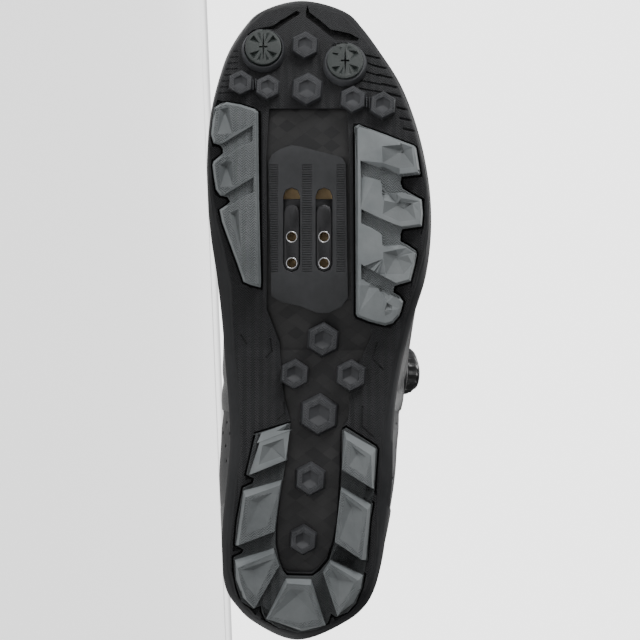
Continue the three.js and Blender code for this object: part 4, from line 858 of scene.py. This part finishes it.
heel_pits = []
for face, foot, pit, apex in (
    (
        [(260.5, 441.7), (290.7, 430.2), (286.5, 459.7), (252.8, 473.4)],
        [(256.6, 434), (290.5, 423), (288.2, 460), (249.7, 474.2)],
        [(264.7, 445), (283.4, 439), (281.9, 456), (259.7, 464.3)], (272, 447),
    ),
    (
        [(246.7, 496), (281.2, 483.8), (275.4, 529.6), (240, 543)],
        [(244.6, 489), (282.6, 478.5), (276, 530), (237, 544)],
        [(252.8, 498.7), (272, 491.8), (268.5, 524), (247, 532)], (260, 501),
    ),
    (
        [(239.1, 565.1), (275, 550.2), (279.6, 563.6), (255.9, 604.9), (248.3, 596.5), (242.1, 579.7)],
        [(236, 556.8), (274.3, 545.5), (280.4, 564), (255, 605.8), (243.5, 594.6), (236.8, 576.4)],
        [(243.7, 567), (273.5, 556.7), (257.4, 593.5), (247.5, 581.2)], (256, 567),
    ),
    (
        [(288, 580), (311, 582), (324.8, 621.8), (300.3, 624.8), (267.8, 615.6)],
        [(286.3, 575.7), (311.5, 576.4), (326, 622.6), (302, 628.8), (266.8, 616)],
        [(290.3, 585.8), (306.4, 586.6), (318.6, 615.6), (300.3, 619.5), (273.5, 613.3)], (298, 592),
    ),
    (
        [(330.6, 560.6), (357.4, 577.4), (353.6, 588.9), (345.9, 600.3), (337.5, 612.6), (323.7, 571.3)],
        [(330.3, 557.6), (363, 572.5), (360.4, 587.6), (353.5, 601), (337.3, 613.6), (322.7, 569.5)],
        [(332, 567), (352, 579), (347, 592), (338.5, 603), (328.5, 574)], (338, 576),
    ),
    (
        [(340.5, 488.8), (366.6, 507.9), (361.2, 557.5), (334.8, 539.1)],
        [(340.8, 485.6), (370.6, 503), (365.8, 558.4), (334.5, 540.5)],
        [(345, 496), (361, 508.5), (357.5, 550), (339.5, 536)], (351, 505),
    ),
    (
        [(345.9, 439), (370.4, 455), (371.2, 487.2), (341.7, 468)],
        [(343.6, 430), (375.6, 448), (373.4, 488.4), (341.5, 469.6)],
        [(351.5, 445.5), (365, 456), (365.5, 476), (348.5, 465)], (357, 453),
    ),
):
    heel_pits.append(seen(pit))
    block = slab("heel_lug", seen(face), PAD_FACE, HEEL_CHANNEL + 0.5 * MM, seen(foot))
    carve(block, hollow("pit", seen(pit), PAD_FACE, seen([apex])[0], 1.1 * PIT_DEPTH))
    carve(horseshoe, block, "UNION")
finish_pad(horseshoe, "tread_pad_heel", heel_pits, -3.2)


# Upper: a one-piece shell of microfibre laminate drawn over the last, about two millimetres thick,
# open at the collar and the throat and lasted under the footbed. Walking has pressed soft creases
# across it at the ball of the foot and beside the ankle. Small holes let air in.
OUTLINES = [  # share of the length, then tread face, rim and upper on the inner and the outer side
    (0.03, 0.186, 0.145, 0.236, 0.19, 0.222, 0.177), (0.053, 0.268, 0.231, 0.304, 0.268, 0.288, 0.252),
    (0.077, 0.315, 0.279, 0.349, 0.308, 0.333, 0.299), (0.124, 0.345, 0.32, 0.372, 0.345, 0.37, 0.345),
    (0.187, 0.331, 0.328, 0.365, 0.37, 0.385, 0.385), (0.249, 0.311, 0.345, 0.347, 0.39, 0.395, 0.413),
    (0.312, 0.295, 0.353, 0.333, 0.394, 0.385, 0.426), (0.375, 0.302, 0.379, 0.343, 0.408, 0.376, 0.444),
    (0.437, 0.322, 0.413, 0.358, 0.44, 0.371, 0.467), (0.5, 0.333, 0.454, 0.372, 0.485, 0.367, 0.492),
    (0.563, 0.34, 0.508, 0.392, 0.54, 0.376, 0.522), (0.625, 0.385, 0.549, 0.419, 0.564, 0.395, 0.54),
    (0.688, 0.42, 0.551, 0.435, 0.562, 0.41, 0.537), (0.751, 0.429, 0.522, 0.437, 0.535, 0.41, 0.508),
    (0.813, 0.415, 0.472, 0.424, 0.488, 0.397, 0.46), (0.868, 0.379, 0.406, 0.39, 0.424, 0.363, 0.395),
    (0.915, 0.331, 0.322, 0.345, 0.34, 0.317, 0.313), (0.955, 0.261, 0.236, 0.277, 0.259, 0.247, 0.227),
    (0.98, 0.19, 0.159, 0.209, 0.19, 0.177, 0.15),
]
OUTLINE_TIPS = ((0.0125, 0.992), (0, 1), (0.007, 0.99))  # heel and toe ends of the three outlines
SECTIONS = [  # share of the length, height of the ridge in mm, height of the widest line, power
    (0.15, 118, 33.1, 2), (0.25, 118, 36, 2), (0.35, 107.4, 34.2, 2), (0.43, 91.4, 28.8, 2.05),
    (0.5, 80, 23.4, 2.1), (0.57, 70.3, 19.1, 2.15), (0.65, 60.3, 16.6, 2.2), (0.73, 51.4, 15.1, 2.25),
    (0.8, 43.5, 14.4, 2.3), (0.85, 38, 13.9, 2.3),
]
FEATHER_LINE = 7.1
HEEL_PIVOT = 0.15
TOE_PIVOT = 0.85
RUBBER_SIDE = 3 * MM


def along(table, at, column):
    """Reads a table smoothly at a share of the length."""
    if at <= table[0][0]:
        return table[0][column]
    if at >= table[-1][0]:
        return table[-1][column]
    i = next(k for k, row in enumerate(table) if at <= row[0]) - 1

    def slope(k):
        a, b = table[max(k - 1, 0)], table[min(k + 1, len(table) - 1)]
        return (b[column] - a[column]) / (b[0] - a[0])

    a, b = table[i], table[i + 1]
    step = b[0] - a[0]
    t = (at - a[0]) / step
    return (
        (1 + 2 * t) * (1 - t) ** 2 * a[column] + t * (1 - t) ** 2 * step * slope(i)
        + t * t * (3 - 2 * t) * b[column] + t * t * (t - 1) * step * slope(i + 1)
    )


def smooth_outline(kind):
    """A closed curve through one pair of columns of the outlines and its two tips."""
    inner = [(row[0] * LENGTH, -row[1 + 2 * kind] * BALL_WIDTH) for row in OUTLINES]
    outer = [(row[0] * LENGTH, row[2 + 2 * kind] * BALL_WIDTH) for row in OUTLINES]
    heel, toe = OUTLINE_TIPS[kind]
    heel_end = (heel * LENGTH, -0.036 * BALL_WIDTH)
    toe_end = (toe * LENGTH, -0.018 * BALL_WIDTH)
    corners = [Vector(p) for p in [heel_end, *inner, toe_end, *reversed(outer)]]
    count = len(corners)
    curve = []
    for i in range(count):
        p = [corners[(i + k - 1) % count] for k in range(4)]
        knots = [0.0]
        for k in range(3):
            knots.append(knots[-1] + (p[k + 1] - p[k]).length ** 0.5)
        for step in range(8):
            t = knots[1] + (knots[2] - knots[1]) * step / 8

            def between(a, b, ta, tb):
                return a * ((tb - t) / (tb - ta)) + b * ((t - ta) / (tb - ta))

            first = [between(p[k], p[k + 1], knots[k], knots[k + 1]) for k in range(3)]
            second = [between(first[k], first[k + 1], knots[k], knots[k + 2]) for k in range(2)]
            curve.append(between(second[0], second[1], knots[1], knots[2]))
    return curve


outline_curves = [smooth_outline(kind) for kind in range(3)]


def reach(curve, x, way):
    """How far it is to the outline from a foot on the middle line."""
    far = 0.0
    for p, q in zip(curve, curve[1:] + curve[:1]):
        a = (p.x - x) * way.y - p.y * way.x
        b = (q.x - x) * way.y - q.y * way.x
        if a * b > 0 or a == b:
            continue
        hit = p.lerp(q, a / (a - b)) - Vector((x, 0))
        far = max(far, hit.dot(way))
    return far


def column_of_last(at, angle):
    way = Vector((math.cos(angle), math.sin(angle)))
    face, rim, upper_line = (reach(curve, at * LENGTH, way) for curve in outline_curves)
    return at, way, min(rim - RUBBER_SIDE, face), upper_line


def last_point(column, t):
    """A point of the last: t runs from the feather line at 0 by the widest line at 1 to the ridge at 2."""
    at, way, low_reach, wide_reach = column
    waist = along(SECTIONS, at, 2)
    if t <= 1:
        r = low_reach + (wide_reach - low_reach) * t * t * (3 - 2 * t)
        height = FEATHER_LINE + (waist - FEATHER_LINE) * t
        fade = 0
    else:
        fade = t - 1
        angle = math.pi / 2 * (1 - fade)
        power = 2 / along(SECTIONS, at, 3)
        r = wide_reach * max(math.sin(angle), 0) ** power
        height = waist + (along(SECTIONS, at, 1) - waist) * max(math.cos(angle), 0) ** power
    x = at * LENGTH
    return Vector((x + way.x * r, way.y * r, height * MM + sole_rise(x + way.x * r * (1 - fade))))


STATION_STEPS = 64
TOE_STEPS = 56
HEEL_STEPS = 40
last_columns = []
for i in range(1, TOE_STEPS):
    last_columns.append(column_of_last(TOE_PIVOT, -math.pi / 2 + i * math.pi / TOE_STEPS))
for i in range(STATION_STEPS + 1):
    at = TOE_PIVOT + (HEEL_PIVOT - TOE_PIVOT) * i / STATION_STEPS
    last_columns.append(column_of_last(at, math.pi / 2))
for i in range(1, HEEL_STEPS):
    last_columns.append(column_of_last(HEEL_PIVOT, math.pi / 2 + i * math.pi / HEEL_STEPS))
for i in range(STATION_STEPS + 1):
    at = HEEL_PIVOT + (TOE_PIVOT - HEEL_PIVOT) * i / STATION_STEPS
    last_columns.append(column_of_last(at, -math.pi / 2))
RING_STEPS = [i / 9 for i in range(10)] + [1 + i / 30 for i in range(1, 31)]

# Creases: share of the length and height of a trough's middle, its slant, width, reach and depth in mm.
CREASES = [
    (0.735, 40, 0.25, 3.2, 26, 0.75), (0.7, 46, 0.1, 3.4, 30, 0.9), (0.664, 50, -0.1, 3.0, 24, 0.6),
    (0.36, 52, 1.3, 4.0, 18, 0.8), (0.4, 44, 1.1, 3.6, 16, 0.6),
]


def crease_depth(point):
    """Soft troughs with a low ridge on each side."""
    depth = 0.0
    for at, height, slant, width, reach_up, deep in CREASES:
        above = point.z / MM - height
        off = (point.x - at * LENGTH) / MM - slant * above * 0.4
        share = off / width
        fade = math.exp(-((above / reach_up) ** 2)) * (0.75 + 0.25 * math.sin(point.y * 90 + at * 40))
        depth += deep * fade * (math.exp(-share * share) - 0.45 * math.exp(-((abs(share) - 1.7) ** 2)))
    return depth * MM


def last_surface(name, inset):
    """The closed last, moved inwards or outwards, from a grid wrapped round the shoe."""
    bpy.ops.object.select_all(action="DESELECT")
    bpy.ops.mesh.primitive_grid_add(
        x_subdivisions=len(last_columns), y_subdivisions=len(RING_STEPS) - 1, size=1
    )
    sheet = bpy.context.object
    sheet.name = name
    across = len(last_columns) + 1
    for index, corner in enumerate(sheet.data.vertices):
        column = last_columns[(index % across) % len(last_columns)]
        point = last_point(column, RING_STEPS[index // across])
        corner.co = point
    outwards_open(sheet)
    normals = [corner.normal.copy() for corner in sheet.data.vertices]
    for corner, normal in zip(sheet.data.vertices, normals):
        corner.co -= normal * (inset + crease_depth(corner.co))
    return sheet


def outwards_open(sheet):
    """Merges the seam of an open sheet and turns its faces away from the shoe's inside."""
    only(sheet)
    bpy.ops.object.mode_set(mode="EDIT")
    bpy.ops.mesh.select_all(action="SELECT")
    bpy.ops.mesh.remove_doubles(threshold=0.00005)
    bpy.ops.mesh.normals_make_consistent(inside=False)
    bpy.ops.object.mode_set(mode="OBJECT")
    middle = Vector((LENGTH / 2, 0, 0.03))
    side = max(sheet.data.polygons, key=lambda face: face.center.y)
    if side.normal.dot(side.center - middle) < 0:
        bpy.ops.object.mode_set(mode="EDIT")
        bpy.ops.mesh.flip_normals()
        bpy.ops.object.mode_set(mode="OBJECT")


def thickened(sheet, wall):
    """Gives a sheet its wall on the inner side."""
    body = sheet.modifiers.new("wall", "SOLIDIFY")
    body.thickness = wall
    body.offset = -1
    body.use_even_offset = True
    only(sheet)
    bpy.ops.object.modifier_apply(modifier=body.name)
    outwards(sheet)


HEEL_BACK = 84
COLLAR_DIP = 66
THROAT_TOP_HEIGHT = 101
COLLAR = [
    (-12, HEEL_BACK + 1), (6, HEEL_BACK), (39.2, 74.1), (84, COLLAR_DIP), (100.8, COLLAR_DIP + 8),
    (110.6, THROAT_TOP_HEIGHT - 12), (116.2, THROAT_TOP_HEIGHT - 3), (126, THROAT_TOP_HEIGHT),
]


def flowing(points, steps):
    """A smooth open line through points."""
    made = []
    ends = [points[0], *points, points[-1]]
    for i in range(len(points) - 1):
        a, b, c, d = (Vector(p) for p in ends[i:i + 4])
        for k in range(steps):
            t = k / steps
            made.append(
                ((2 * b) + (c - a) * t + (2 * a - 5 * b + 4 * c - d) * t * t
                 + (3 * b - a - 3 * c + d) * t ** 3) / 2
            )
    return made + [Vector(points[-1])]


def side_cutter(name, outline):
    """A block right across the shoe on an outline drawn from the side, in mm."""
    block = slab(name, [(x * MM, z * MM) for x, z in outline], -0.08, 0.08)
    block.data.transform(Matrix.Rotation(math.pi / 2, 4, "X"))
    outwards(block)
    return block


def collar_cutter(lower=0.0):
    line = [(p.x, p.y - lower) for p in flowing(COLLAR, 8)]
    return side_cutter("collar_cut", [*line, (126, 200), (-12, 200)])


def throat_cutter(wider=0.0):
    half = 13 + wider
    end = 0.69 * 280 + wider
    front = []
    for i in range(13):
        angle = -math.pi / 2 + i * math.pi / 12
        front.append((end - half + half * math.cos(angle), half * 0.85 * math.sin(angle)))
    outline = [*front, (95.2, 18.85 + wider * 1.3), (95.2, -18.85 - wider * 1.3)]
    return slab("throat_cut", [(x * MM, y * MM) for x, y in outline], 0.03, 0.2)


microfibre = finish("microfibre_laminate", (0.011, 0.0112, 0.012), 0.46, 0.35)
tree = microfibre.node_tree
cloud, _ = mottled(
    tree, (0.009, 0.0093, 0.01), (0.016, 0.0163, 0.0175), 45.0,
    tree.nodes["Principled BSDF"].inputs["Base Color"],
)
hide = add_node(tree, "TexVoronoi", Scale=1400.0)
place = tree.nodes.new("ShaderNodeTexCoord")
tree.links.new(place.outputs["Object"], hide.inputs["Vector"])
pebble = sum_of(tree, "MULTIPLY", hide.outputs["Distance"], 0.8)
waves = add_node(tree, "TexNoise", Scale=260.0, Detail=4.0)
tree.links.new(place.outputs["Object"], waves.inputs["Vector"])
relief(tree, sum_of(tree, "ADD", pebble, waves.outputs["Fac"]), 0.00012, 0.8)
sheen = tree.nodes.new("ShaderNodeMapRange")
sheen.inputs["To Min"].default_value = 0.38
sheen.inputs["To Max"].default_value = 0.6
tree.links.new(cloud.outputs["Fac"], sheen.inputs["Value"])
tree.links.new(sheen.outputs["Result"], tree.nodes["Principled BSDF"].inputs["Roughness"])

WALL = 2.2 * MM
shell = last_surface("upper_shell", 0.0)
thickened(shell, WALL)
carve(shell, collar_cutter())
carve(shell, throat_cutter())


def side_point(x, height, side):
    """Where the last is at a height over the tread's sheet, beside the middle line."""
    column = column_of_last(x / LENGTH, side * math.pi / 2)
    low, high = 0.0, 2.0
    for _ in range(30):
        middle = (low + high) / 2
        if last_point(column, middle).z < height:
            low = middle
        else:
            high = middle
    point = last_point(column, low)
    ahead = last_point(column_of_last(x / LENGTH + 0.01, side * math.pi / 2), low) - point
    above = last_point(column, min(low + 0.02, 2)) - point
    return point, above.cross(ahead).normalized() * side


# Perforations: rows of small punched holes beside the heel, on the vamp and along the inner side.
def punch(x, height, side, radius):
    point, normal = side_point(x * MM, height * MM, side)
    bpy.ops.object.select_all(action="DESELECT")
    bpy.ops.mesh.primitive_cylinder_add(
        vertices=10, radius=radius, depth=6 * MM, location=point,
        rotation=normal.to_track_quat("Z", "Y").to_euler(),
    )
    pin = bpy.context.object
    bpy.ops.object.transform_apply(location=True, rotation=True, scale=True)
    return pin


def seen_side(spot):
    """Where a point seen beside the sole lies on the upper: its place, height and side."""
    x, y = seen([spot])[0]
    side = 1 if y > 0 else -1
    column = column_of_last(x / LENGTH, side * math.pi / 2)
    low, high = 0.0, 1.0
    for _ in range(24):
        middle = (low + high) / 2
        if abs(last_point(column, middle).y) < abs(y):
            low = middle
        else:
            high = middle
    return x / MM, last_point(column, low).z / MM, side


holes = []
for spot in (
    (223.3, 413), (226, 425), (222.3, 436), (229.3, 436), (225.3, 448.5), (226.2, 463.5),
    (397.5, 427), (396.5, 451), (392.5, 462), (393.5, 481.5),
):
    holes.append(punch(*seen_side(spot), 0.6 * MM))
for row in range(3):
    for step in range(9):
        for side in (-1, 1):
            holes.append(punch(196 + step * 4.5 + row * 2.2, 29 + row * 4.5 - step * 0.7, side, 0.5 * MM))
carve(shell, joined(holes, "holes"))
shell.data.transform(standing)
outwards(shell)
round_edges(shell, 0.35 * MM, angle=50)
smooth(shell, 40)
coat(shell, microfibre)
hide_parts("upper")
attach(shell, SHOE)


# Rim of the outsole: the smooth outer side of the rubber frame, moulded with it, from the edge of the
# tread up to where it is bonded to the upper.
RIM_TOPS = [
    (0, 12.9), (0.08, 11.4), (0.14, 9.6), (0.2, 8.4), (0.45, 8.1), (0.6, 9.9), (0.75, 11.7), (0.88, 13.5),
    (1, 15),
]
RIM_ROWS = [  # mm outwards, share of the way from tread edge to widest line, share of the height
    (-0.5, 0, 0.09), (0.08, 0.03, 0.1), (0.14, 0.3, 0.2), (0.14, 0.65, 0.33), (0.14, 1, 0.5),
    (0, 1, 0.75), (-0.35, 1, 0.92), (-1.1, 1, 0.99),
]
count = len(outline_curves[0])
bpy.ops.object.select_all(action="DESELECT")
bpy.ops.mesh.primitive_grid_add(x_subdivisions=count, y_subdivisions=len(RIM_ROWS) - 1, size=1)
band = bpy.context.object
band.name = "rim_band"
for index, corner in enumerate(band.data.vertices):
    i = index % (count + 1) % count
    out, mix, share = RIM_ROWS[index // (count + 1)]
    tread_edge, widest = (curve[i] for curve in outline_curves[:2])
    way = outline_curves[1][(i + 1) % count] - outline_curves[1][i - 1]
    spot = tread_edge.lerp(widest, mix) + Vector((way.y, -way.x)).normalized() * out * MM
    corner.co = (*spot, share * along(RIM_TOPS, spot.x / LENGTH, 1) * MM + sole_rise(spot.x))
outwards_open(band)
thickened(band, 0.5 * MM)
band.data.transform(standing)
outwards(band)
smooth(band, 50)
mark_tones(band, lambda place, level, facing: 1.0)
coat(band, black_rubber)
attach(band, SHOE)


# Overlays: thin films welded on the upper where it rubs, a guard over the toes, a cup round the heel,
# a saddle on each side that pulls the throat in, and a band along both edges of the throat.
film = finish("welded_film", (0.008, 0.0082, 0.0088), 0.34, 0.4)
tree = film.node_tree
mottled(
    tree, (0.0065, 0.0067, 0.0072), (0.012, 0.0122, 0.013), 70.0,
    tree.nodes["Principled BSDF"].inputs["Base Color"],
)
leather = add_node(tree, "TexNoise", Scale=1100.0, Detail=5.0, Roughness=0.65)
relief(tree, leather.outputs["Fac"], 0.00008, 0.7)
FILM = 0.55 * MM
film_stock = last_surface("film_stock", -FILM)
thickened(film_stock, FILM + 0.25 * MM)


def overlay(name, tool):
    piece = bpy.data.objects.new(name, film_stock.data.copy())
    bpy.context.scene.collection.objects.link(piece)
    carve(piece, tool, "INTERSECT")
    carve(piece, collar_cutter(lower=3.5))
    carve(piece, throat_cutter(wider=3.0))
    piece.data.transform(standing)
    outwards(piece)
    round_edges(piece, 0.15 * MM, segments=1, angle=50)
    smooth(piece, 40)
    coat(piece, film)
    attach(piece, SHOE)
    return piece


def plan_cutter(name, outline):
    return slab(name, [(x * MM, y * MM) for x, y in outline], -0.02, 0.2)


overlay("guard_toe", plan_cutter("guard", [
    (228, -60), (236, -40), (243, -26), (248, -10), (249, 4), (246, 20), (240, 34), (231, 60),
    (300, 60), (300, -60),
]))
overlay("cup_heel", side_cutter("cup", [
    (-15, 0), (66, 0), (62, 22), (55, 38), (44, 50), (30, 58), (12, 64), (-15, 66),
]))
overlay("saddle_sides", side_cutter("saddle", [
    (98, 0), (150, 0), (152, 30), (150, 48), (146, 120), (112, 120), (106, 64), (99, 40),
]))
overlay("vamp_band", plan_cutter("band", [
    (118, -26), (140, -25), (170, -22.5), (196, -17), (206, -8), (208, 0), (206, 8), (196, 17),
    (170, 22.5), (140, 25), (118, 26),
]))
bpy.data.objects.remove(film_stock)


# Tongue: a thin foam pad between two knitted layers, sewn at the front end of the throat and standing
# a little out of the collar. Sewn channels cross it and let it bend.
knit_black = finish("knit_black", (0.012, 0.0122, 0.013), 0.85, 0.2)
tree = knit_black.node_tree
mottled(
    tree, (0.009, 0.0092, 0.01), (0.02, 0.0205, 0.022), 500.0,
    tree.nodes["Principled BSDF"].inputs["Base Color"],
)
loops = tree.nodes.new("ShaderNodeSeparateXYZ")
tree.links.new(shoe_millimetres(tree), loops.inputs[0])
wale = sum_of(tree, "SINE", sum_of(tree, "MULTIPLY", loops.outputs["X"], 5.2))
course = sum_of(tree, "SINE", sum_of(tree, "MULTIPLY", loops.outputs["Z"], 5.2))
cross = sum_of(tree, "SINE", sum_of(tree, "MULTIPLY", loops.outputs["Y"], 5.2))
down_rows = sum_of(tree, "MULTIPLY", wale, course)
cross_rows = sum_of(tree, "MULTIPLY", wale, cross)
relief(tree, sum_of(tree, "MAXIMUM", down_rows, cross_rows), 0.00035, 0.9)

TONGUE_REAR = 93.8
tongue = last_surface("tongue_pad", 2.5 * MM)
thickened(tongue, 2.8 * MM)
carve(tongue, slab("tongue_cut", [
    (x * MM, y * MM) for x, y in (
        (201.6, 5.9), (196, 12.4), (173.6, 18.2), (131.6, 20.8), (103.6, 20.8), (96.6, 16.9),
        (93.8, 9.1), (93.8, -9.1), (96.6, -16.9), (103.6, -20.8), (131.6, -20.8), (173.6, -18.2),
        (196, -12.4), (201.6, -5.9),
    )
], 0.03, 0.2), "INTERSECT")
only(tongue)
for corner in tongue.data.vertices:
    channel = math.cos((corner.co.x / MM - TONGUE_REAR) * 2 * math.pi / 17)
    edge = max(0.0, 1 - abs(corner.co.y) / (19 * MM))
    swell = 0.5 * MM * edge * (1 - max(0.0, channel) ** 6) - 0.35 * MM
    corner.co += corner.normal * swell
tongue.data.transform(standing)
outwards(tongue)
round_edges(tongue, 0.7 * MM, segments=3, angle=50)
smooth(tongue, 50)
coat(tongue, knit_black)
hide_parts("tongue")
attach(tongue, SHOE)


# Collar lining: a padded roll of knit round the inside of the collar, sewn to its edge and thinning
# out down the inside of the heel.
def collar_height(x):
    line = flowing(COLLAR, 8)
    for a, b in zip(line, line[1:]):
        if x <= b.x:
            return a.y + (b.y - a.y) * (x - a.x) / (b.x - a.x)
    return COLLAR[-1][1]


LINING_ROWS = 16
LINING_DEPTH = 40
lining_columns = []
for i in range(29):
    lining_columns.append(column_of_last(0.395 + (HEEL_PIVOT - 0.395) * i / 28, math.pi / 2))
for i in range(1, 40):
    lining_columns.append(column_of_last(HEEL_PIVOT, math.pi / 2 + i * math.pi / 40))
for i in range(29):
    lining_columns.append(column_of_last(HEEL_PIVOT + (0.395 - HEEL_PIVOT) * i / 28, -math.pi / 2))


def at_height(column, lower):
    """The point of a column that many millimetres under the collar's edge."""
    low, high = 0.0, 2.0
    for _ in range(24):
        middle = (low + high) / 2
        point = last_point(column, middle)
        if point.z / MM < collar_height(point.x / MM) - lower:
            low = middle
        else:
            high = middle
    return last_point(column, low)


bpy.ops.object.select_all(action="DESELECT")
bpy.ops.mesh.primitive_grid_add(
    x_subdivisions=len(lining_columns) - 1, y_subdivisions=LINING_ROWS, size=1
)
lining = bpy.context.object
lining.name = "collar_lining"
across = len(lining_columns)
for index, corner in enumerate(lining.data.vertices):
    row = index // across
    corner.co = at_height(lining_columns[index % across], 1.2 + LINING_DEPTH * row / LINING_ROWS)
outwards_open(lining)
places = [(corner.co.copy(), corner.normal.copy()) for corner in lining.data.vertices]
for index, (corner, (point, normal)) in enumerate(zip(lining.data.vertices, places)):
    corner.co = point - normal * (WALL + 0.3 * MM)
roll = lining.modifiers.new("roll", "SOLIDIFY")
roll.thickness = 3.2 * MM
roll.offset = -1
only(lining)
bpy.ops.object.modifier_apply(modifier=roll.name)
round_edges(lining, 1.2 * MM, segments=3, angle=60)
soft = lining.modifiers.new("soft", "SUBSURF")
soft.levels = 1
soft.render_levels = 1
only(lining)
bpy.ops.object.modifier_apply(modifier=soft.name)
lining.data.transform(standing)
outwards(lining)
bpy.ops.object.shade_smooth()
coat(lining, knit_black)
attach(lining, SHOE)


# Lacing: one coated steel wire runs from the dial back and forth through five low nylon guides on the
# edges of the throat, and ends in the last of them. It is taut, and its run stays as the CAD has it.
wire_coat = finish("coated_wire", (0.05, 0.051, 0.053), 0.35, 0.5)
wire_coat.node_tree.nodes["Principled BSDF"].inputs["Metallic"].default_value = 0.4
tree = wire_coat.node_tree
strands = add_node(tree, "TexWave", Scale=900.0, Distortion=1.5)
relief(tree, strands.outputs["Fac"], 0.0001, 0.7)
wire = merged_copy("lace_wire", "wire_run")
only(wire)
even = wire.modifiers.new("even", "SUBSURF")
even.levels = 2
even.render_levels = 2
bpy.ops.object.modifier_apply(modifier=even.name)
bpy.ops.object.shade_smooth()
coat(wire, wire_coat)
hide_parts("lace_wire")
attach(wire, SHOE)

guide_nylon = finish("guide_nylon", (0.014, 0.0143, 0.015), 0.4, 0.4)
tree = guide_nylon.node_tree
swirl = add_node(tree, "TexNoise", Scale=1300.0, Detail=3.0)
relief(tree, swirl.outputs["Fac"], 0.00006, 0.6)
for node in (
    "lace_guide_medial_top", "lace_guide_lateral_middle", "lace_guide_medial_middle",
    "lace_guide_lateral_low", "lace_guide_medial_low",
):
    guide = merged_copy(node, "guide_" + node[11:])
    round_edges(guide, 0.5 * MM, segments=3, angle=35)
    coat(guide, guide_nylon)
    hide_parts(node)
    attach(guide, SHOE)


# Lace dial: a round nylon base screwed to the outer side of the upper under a ribbed knob that winds
# the wire. The knob's cap is plain, with a shallow dished middle and a bright ring at its edge.
dial_nylon = finish("dial_nylon", (0.012, 0.0122, 0.0128), 0.36, 0.4)
tree = dial_nylon.node_tree
speck = add_node(tree, "TexNoise", Scale=1500.0, Detail=2.0)
relief(tree, speck.outputs["Fac"], 0.00006, 0.6)
for node, name, width in (("dial_base", "dial_seat", 0.4), ("dial_knob", "dial_grip", 0.3)):
    part = merged_copy(node, name)
    round_edges(part, width * MM, segments=3)
    coat(part, dial_nylon)
    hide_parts(node)
    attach(part, SHOE)
top = max(part.data.polygons, key=lambda face: face.area * (face.normal.z > 0))
ring_seat = Matrix.Translation(top.center) @ top.normal.to_track_quat("Z", "Y").to_matrix().to_4x4()
bpy.ops.object.select_all(action="DESELECT")
bpy.ops.mesh.primitive_torus_add(
    major_segments=64, minor_segments=12, major_radius=7.3 * MM, minor_radius=0.4 * MM
)
trim = bpy.context.object
trim.name = "dial_trim"
trim.data.transform(ring_seat)
outwards(trim)
bpy.ops.object.shade_smooth()
satin_grey = finish("satin_grey", (0.12, 0.122, 0.125), 0.3, 0.5)
satin_grey.node_tree.nodes["Principled BSDF"].inputs["Metallic"].default_value = 0.6
tree = satin_grey.node_tree
brush = add_node(tree, "TexNoise", Scale=1800.0, Detail=2.0)
relief(tree, brush.outputs["Fac"], 0.00004, 0.5)
coat(trim, satin_grey)
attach(trim, SHOE)
